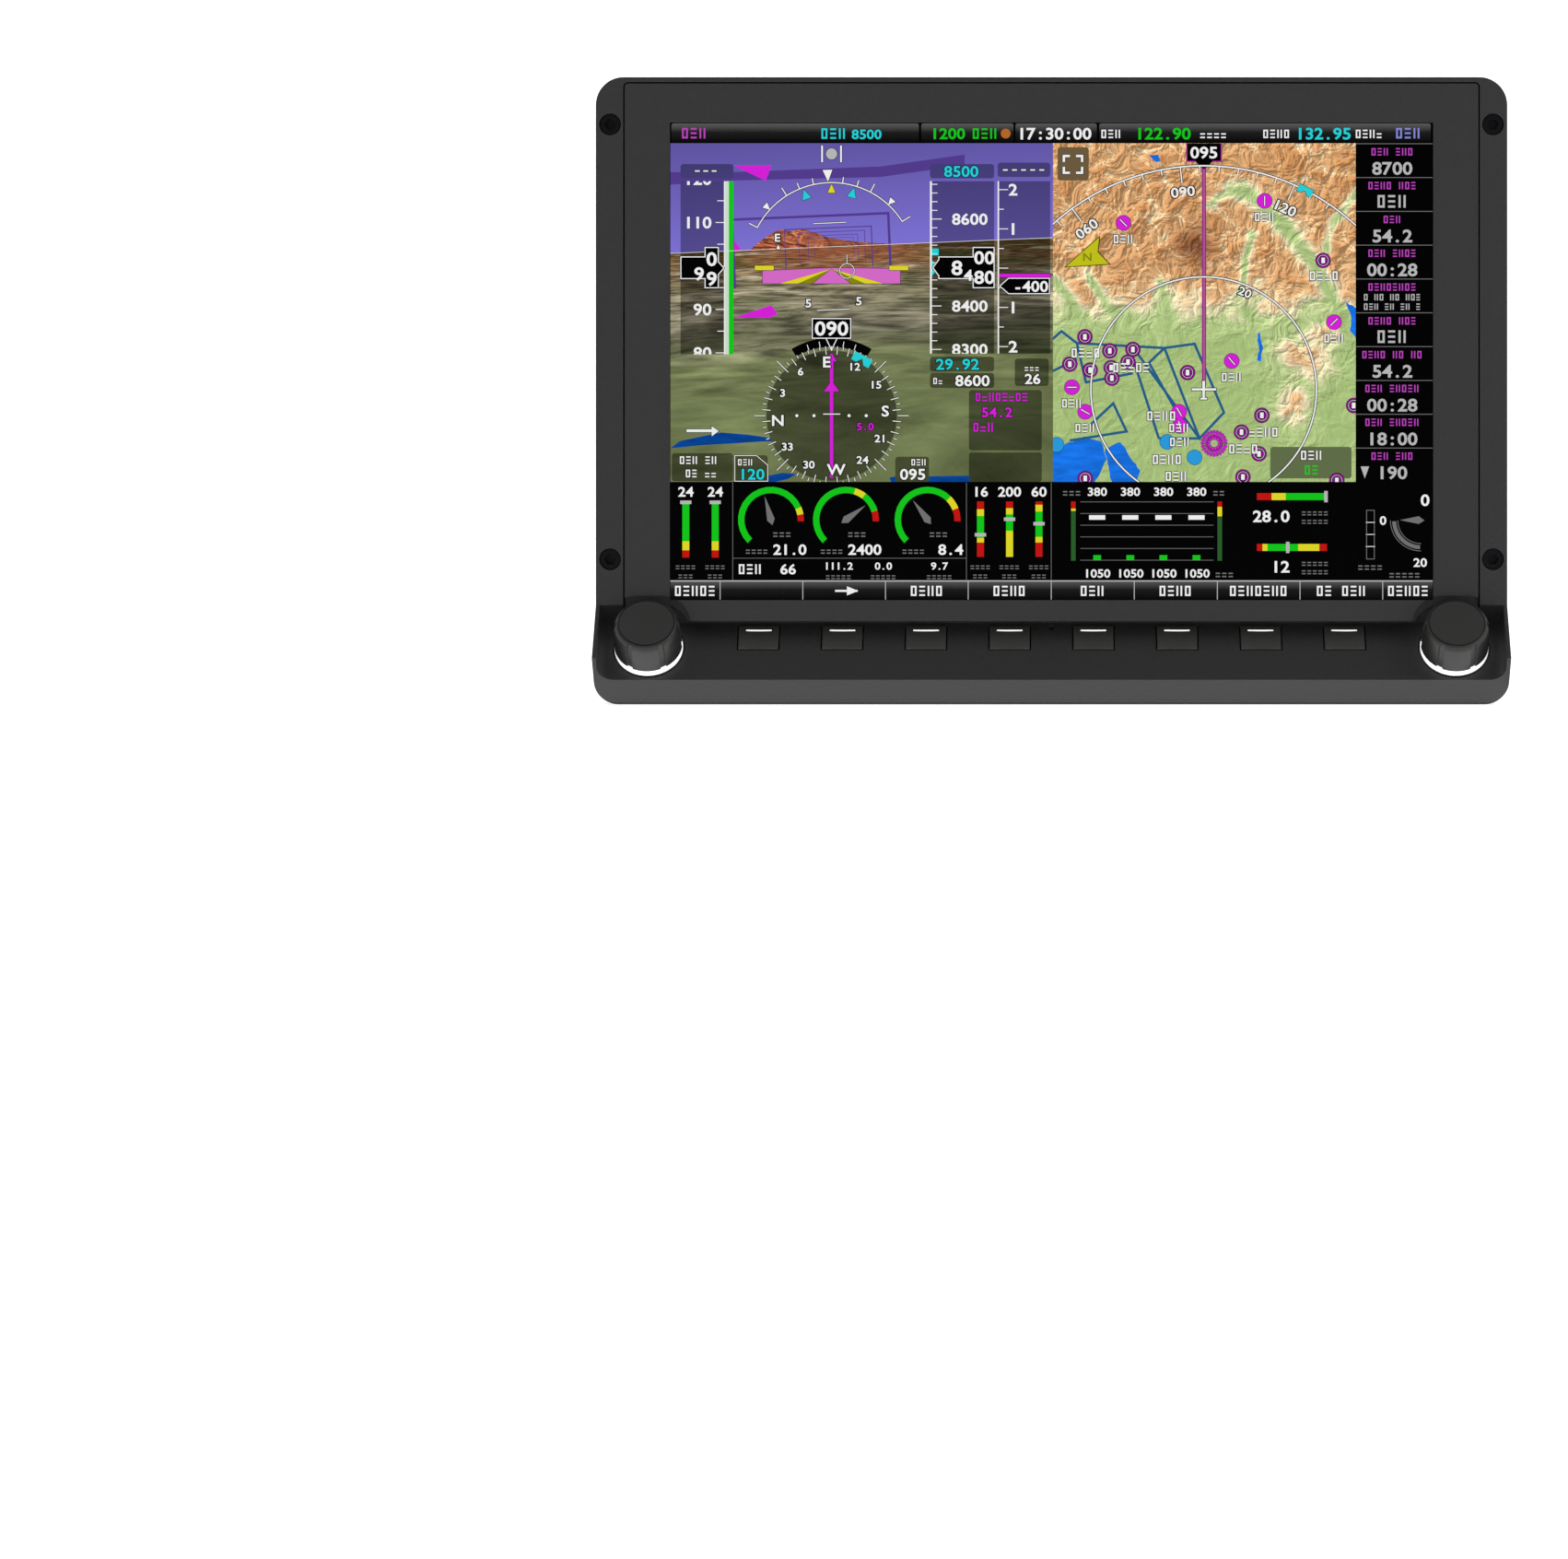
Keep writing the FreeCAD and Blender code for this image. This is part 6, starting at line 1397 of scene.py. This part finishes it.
def draw_level_bar(marks, across, top, bottom, zones, marker, wide=2.0):
    """An upright bar: zones are (colour name, share of the height), from the top."""
    height = bottom - top
    start = top
    for colour, share in zones:
        marks[colour].box(across - wide / 2, start, across + wide / 2, start + share * height)
        start += share * height
    if marker is not None:
        marks["silver"].box(across - wide * 0.8, top + marker * height - 0.5,
                            across + wide * 0.8, top + marker * height + 0.5)


def draw_arc_gauge(marks, centre, zones, needle):
    start = -135.0
    for colour, sweep in zones:
        marks[colour].band(centre, 7.6, 9.4, start, start + sweep, 16)
        start += sweep
    corners = ((7.0, 0), (1.1, 90), (1.6, 180), (1.1, -90))
    marks["grey"].shape([on_circle(centre, reach, needle + turn) for reach, turn in corners])


def draw_strip_bars(marks):
    """Two fuel bars at the left, and three bars for oil and the like in the middle."""
    fuel = (("green", 0.71), ("yellow", 0.16), ("red", 0.13))
    for across in (4.4, 12.8):
        draw_level_bar(marks, across, 107.9, 124.0, fuel, 0.02)
    bars = (
        (88.5, (("red", 0.14), ("yellow", 0.12), ("green", 0.4), ("yellow", 0.08),
                ("red", 0.26)), 0.6),
        (96.8, (("red", 0.12), ("yellow", 0.11), ("green", 0.3), ("yellow", 0.47)), 0.32),
        (105.2, (("red", 0.06), ("yellow", 0.12), ("green", 0.46), ("yellow", 0.1),
                 ("red", 0.26)), 0.4))
    for across, zones, marker in bars:
        draw_level_bar(marks, across, 108.0, 123.8, zones, marker)
    for across, number in ((4.4, "24"), (12.8, "24"), (88.5, "16"), (96.8, "200"), (105.2, "60")):
        marks["white"].text(number, across, 105.2, 2.7)
        marks["grey"].word("====", across, 126.4, 1.8)
        marks["grey"].word("===", across, 129.0, 1.8)


def draw_round_gauges(marks):
    gauges = ((28.7, (("green", 202), ("yellow", 13), ("red", 13)), -15, "21.0"),
              (50.1, (("green", 152), ("yellow", 20), ("green", 36), ("red", 20)), 54, "2400"),
              (73.4, (("green", 180), ("yellow", 24), ("red", 24)), -37, "8.4"))
    for across, zones, needle, reading in gauges:
        draw_arc_gauge(marks, (across, 113.2), zones, needle)
        marks["grey"].word("===", across + 3.2, 117.0, 2.2)
        marks["grey"].word("====", across - 4.0, 121.9, 2.0)
        marks["white"].text(reading, across + 10.2, 121.7, 2.9, align=1.0)
    marks["white"].word("###", 22.8, 127.3, 2.8)
    marks["white"].text("66", 33.6, 127.3, 2.8)
    for across, number in ((48.0, "111.2"), (60.8, "0.0"), (76.8, "9.7")):
        marks["white"].text(number, across, 126.4, 2.0)
        marks["grey"].word("=====", across, 129.2, 1.8)


def draw_engine_strip():
    """Engine gauges along the foot of the picture."""
    names = {"white": WHITE, "grey": GREY, "silver": SILVER, "green": GREEN, "red": RED,
             "yellow": YELLOW, "dark_green": DARK_GREEN}
    marks = {name: Sheet(f"engine_{name}_marks", finish, PATCHES) for name, finish in names.items()}
    marks["silver"].level = BANDS
    for across in (17.8, 84.5, 108.7):
        marks["grey"].box(across - 0.08, 102.6, across + 0.08, 130.4)
    marks["grey"].box(17.8, 124.1, 84.5, 124.25)
    draw_strip_bars(marks)
    draw_round_gauges(marks)
    draw_cylinder_bars(marks)
    draw_power_bars(marks)
    draw_trim_and_flaps(marks)


def draw_cylinder_bars(marks):
    for step in range(6):
        down = 108.1 + step * 3.33
        marks["grey"].box(117.0, down - 0.08, 155.0, down + 0.08)
    for step in range(4):
        across = 121.8 + step * 9.45
        marks["white"].text("380", across, 105.2, 2.3)
        marks["white"].text("1050", across, 128.5, 2.3)
        marks["white"].box(across - 2.3, 111.9, across + 2.3, 113.2)
        marks["green"].box(across - 1.1, 123.3, across + 1.1, 124.75)
    bars = ((115.0, (("red", 0.12), ("yellow", 0.04), ("dark_green", 0.84))),
            (156.8, (("red", 0.09), ("yellow", 0.16), ("dark_green", 0.75))))
    for across, zones in bars:
        draw_level_bar(marks, across, 108.0, 124.9, zones, None, 1.3)
    marks["grey"].word("===", 114.6, 105.2, 2.2)
    marks["grey"].word("==", 156.6, 105.2, 2.2)
    marks["grey"].word("===", 158.2, 128.5, 2.2)


def draw_power_bars(marks):
    bars = ((105.6, (("red", 0.21), ("yellow", 0.2), ("green", 0.57)), 0.985, "28.0", 112.2),
            (120.1, (("red", 0.08), ("yellow", 0.07), ("green", 0.44), ("yellow", 0.3),
                     ("red", 0.11)), 0.44, "12", 126.6))
    left, wide = 167.4, 20.0
    for top, zones, marker, reading, reading_down in bars:
        start = left
        for colour, share in zones:
            marks[colour].box(start, top, start + share * wide, top + 2.0)
            start += share * wide
        marks["silver"].box(left + marker * wide - 0.5, top - 0.6, left + marker * wide + 0.5,
                            top + 2.6)
        marks["white"].text(reading, 176.8, reading_down, 3.2, align=1.0)
        for row in (-1, 1):
            marks["grey"].word("=====", 184.0, reading_down + row * 1.2, 1.9)


def draw_trim_and_flaps(marks):
    grey = marks["grey"]
    grey.frame(198.7, 110.5, 200.9, 124.4, 0.2)
    for step in range(1, 4):
        marks["white"].box(198.5, 110.4 + step * 3.45, 201.1, 110.6 + step * 3.45)
    grey.word("====", 199.8, 126.4, 2.2)
    hinge = (214.2, 113.4)
    grey.stroke(arc(hinge, 8.7, 180, 270, 16), 0.2)
    grey.stroke(arc(hinge, 6.6, 180, 270, 16), 0.2)
    grey.band(hinge, 7.1, 8.2, 182, 268, 16)
    grey.shape([(208.2, 113.3), (213.6, 112.2), (215.2, 113.4), (213.6, 114.4)])
    marks["white"].text("0", 215.4, 107.6, 3.2)
    marks["white"].text("0", 203.4, 113.4, 2.4)
    marks["white"].text("20", 214.0, 125.4, 2.4)
    grey.word("=====", 209.6, 128.6, 2.2)


def draw_key_bar():
    """Row of labelled boxes above the keys."""
    bar = Sheet("key_bar", shaded_bar("key_bar", 130.8, TALL, tone(84, 84, 84), tone(4, 4, 4)),
                SCENERY)
    bar.box(0.0, 130.8, WIDE, TALL)
    line = Sheet("key_bar_lines", SILVER, PATCHES)
    line.box(0.0, 130.5, WIDE, 130.85)
    edges = (14.2, 37.8, 61.4, 85.0, 108.7, 132.4, 156.1, 179.7, 203.3)
    for across in edges:
        line.box(across - 0.12, 130.8, across + 0.12, TALL)
    words = Sheet("key_bar_words", WHITE, PATCHES)
    for across, pattern in ((7.1, "#####"), (73.2, "####"), (96.8, "####"), (120.5, "###"),
                            (144.2, "####"), (167.9, "#######"), (191.5, "## ###"),
                            (210.6, "#####")):
        words.word(pattern, across, 133.5, 2.9)
    words.box(47.0, 133.2, 53.4, 133.8)
    words.shape([(50.4, 132.2), (53.6, 133.5), (50.4, 134.8)])


# ------------------------------------------------------------------ studio
SENSOR_WIDE = 36.0
LENS = 108.58
STAND_OFF = 1349.6 * MM
SHIFT_ACROSS = -0.1706
SHIFT_UP = -0.248
FLOOR_GLOW = 0.72
SKY_LOW = 0.5
SKY_HIGH = 0.66
STRIP_SIZE = (262 * MM, 19 * MM)
STRIP_AHEAD = 10.5 * MM
STRIP_ABOVE_FLOOR = 0.5 * MM
STRIP_POWER = 0.0135
SIDE_LIGHT_PLACE = (1.1, -0.7, 0.7)
SIDE_LIGHT_SIZE = (0.6, 0.6)
SIDE_LIGHT_POWER = 3


def make_floor():
    """A pale floor that sweeps up into a backdrop."""
    floor_level = CAD_BOX[0].z
    reach = 4.0
    depth = 2.2
    bend = 0.9
    profile = [(-reach, 0.0), (depth - bend, 0.0)]
    for step in range(1, 13):
        angle = math.radians(90 * step / 12)
        profile.append((depth - bend + bend * math.sin(angle), bend - bend * math.cos(angle)))
    profile.append((depth, reach))
    sheet = bmesh.new()
    rows = [[sheet.verts.new((side * reach, back, floor_level + up)) for side in (-1, 1)]
            for back, up in profile]
    for first, second in zip(rows, rows[1:]):
        sheet.faces.new([first[0], first[1], second[1], second[0]])
    mesh = bpy.data.meshes.new("floor")
    sheet.to_mesh(mesh)
    sheet.free()
    for face in mesh.polygons:
        face.use_smooth = True
    recipe = Recipe("floor_paper")
    fibre = recipe.noise(2 * MM, 4.0)
    paper = recipe.mix(fibre, tone(250, 250, 250), tone(254, 254, 254))
    recipe.set(Base_Color=paper, Roughness=0.9, Specular_IOR_Level=0.1,
               Emission_Color=paper, Emission_Strength=FLOOR_GLOW)
    mesh.materials.append(recipe.material)
    add_object("floor", mesh)


def add_softbox(name, place, target, size, power):
    data = bpy.data.lights.new(name, "AREA")
    data.shape = "RECTANGLE"
    data.size, data.size_y = size
    data.energy = power
    lamp = add_object(name, data)
    lamp.visible_camera = False
    lamp.location = place
    lamp.rotation_euler = (Vector(target) - Vector(place)).to_track_quat("-Z", "Y").to_euler()


def make_world():
    """Even white to the camera; as a light it is dimmer overhead than near the floor."""
    world = bpy.data.worlds.new("studio")
    world.use_nodes = True
    tree = world.node_tree
    nodes = tree.nodes
    axes = nodes.new("ShaderNodeSeparateXYZ")
    tree.links.new(nodes.new("ShaderNodeTexCoord").outputs["Generated"], axes.inputs[0])
    fade = nodes.new("ShaderNodeMapRange")
    for socket, value in zip(fade.inputs, (0.0, -0.2, 0.9, SKY_LOW, SKY_HIGH)):
        socket.default_value = value
    tree.links.new(axes.outputs[2], fade.inputs[0])
    seen = nodes.new("ShaderNodeLightPath").outputs["Is Camera Ray"]
    pick = nodes.new("ShaderNodeMix")
    tree.links.new(seen, pick.inputs[0])
    tree.links.new(fade.outputs[0], pick.inputs[2])
    pick.inputs[3].default_value = 1.0
    tree.links.new(pick.outputs[0], nodes["Background"].inputs[1])
    nodes["Background"].inputs[0].default_value = (1.0, 1.0, 1.0, 1.0)
    bpy.context.scene.world = world


def make_lights():
    """A weak lamp at the side, and a strip at floor level that lifts the lower lip."""
    make_world()
    low = CAD_BOX[0].z + STRIP_ABOVE_FLOOR
    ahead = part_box("display_panel")[0].y - STRIP_AHEAD
    add_softbox("floor_strip", (0, ahead, low), (0, ahead, 1), STRIP_SIZE, STRIP_POWER)
    add_softbox("side_light", SIDE_LIGHT_PLACE, (0, 0, -0.02), SIDE_LIGHT_SIZE, SIDE_LIGHT_POWER)


def hold_shift(camera, name, amount):
    """Lens shift that belongs to this framing only: it is zero wherever else the camera goes."""
    driver = camera.data.driver_add(name).driver
    driver.type = "SCRIPTED"
    for axis in "xyz":
        variable = driver.variables.new()
        variable.name = axis
        variable.targets[0].id = camera
        variable.targets[0].data_path = f"location.{axis}"
    home = camera.location
    driver.expression = (f"{amount} if abs(x - {home.x:.5f}) + abs(y - {home.y:.5f})"
                         f" + abs(z - {home.z:.5f}) < 0.001 else 0.0")


def make_camera():
    low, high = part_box("bezel")
    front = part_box("display_panel")[0].y
    data = bpy.data.cameras.new("camera")
    data.sensor_width = SENSOR_WIDE
    data.lens = LENS
    data.clip_start = 0.05
    camera = add_object("camera", data)
    camera.location = ((low.x + high.x) / 2, front - STAND_OFF, (low.z + high.z) / 2)
    camera.rotation_euler = (math.radians(90), 0, 0)
    bpy.context.scene.camera = camera
    hold_shift(camera, "shift_x", SHIFT_ACROSS)
    hold_shift(camera, "shift_y", SHIFT_UP)


dress_cad_pieces()
for knob_side in ("left", "right"):
    make_knob(knob_side)
for key_number in range(1, 9):
    slim_key_light(key_number)
draw_attitude_view()
draw_moving_map()
draw_data_column()
draw_top_bar()
draw_engine_strip()
draw_key_bar()
for drawn_sheet in Sheet.drawn:
    drawn_sheet.piece()
make_floor()
make_lights()
make_camera()
bpy.context.scene.view_settings.view_transform = "Standard"
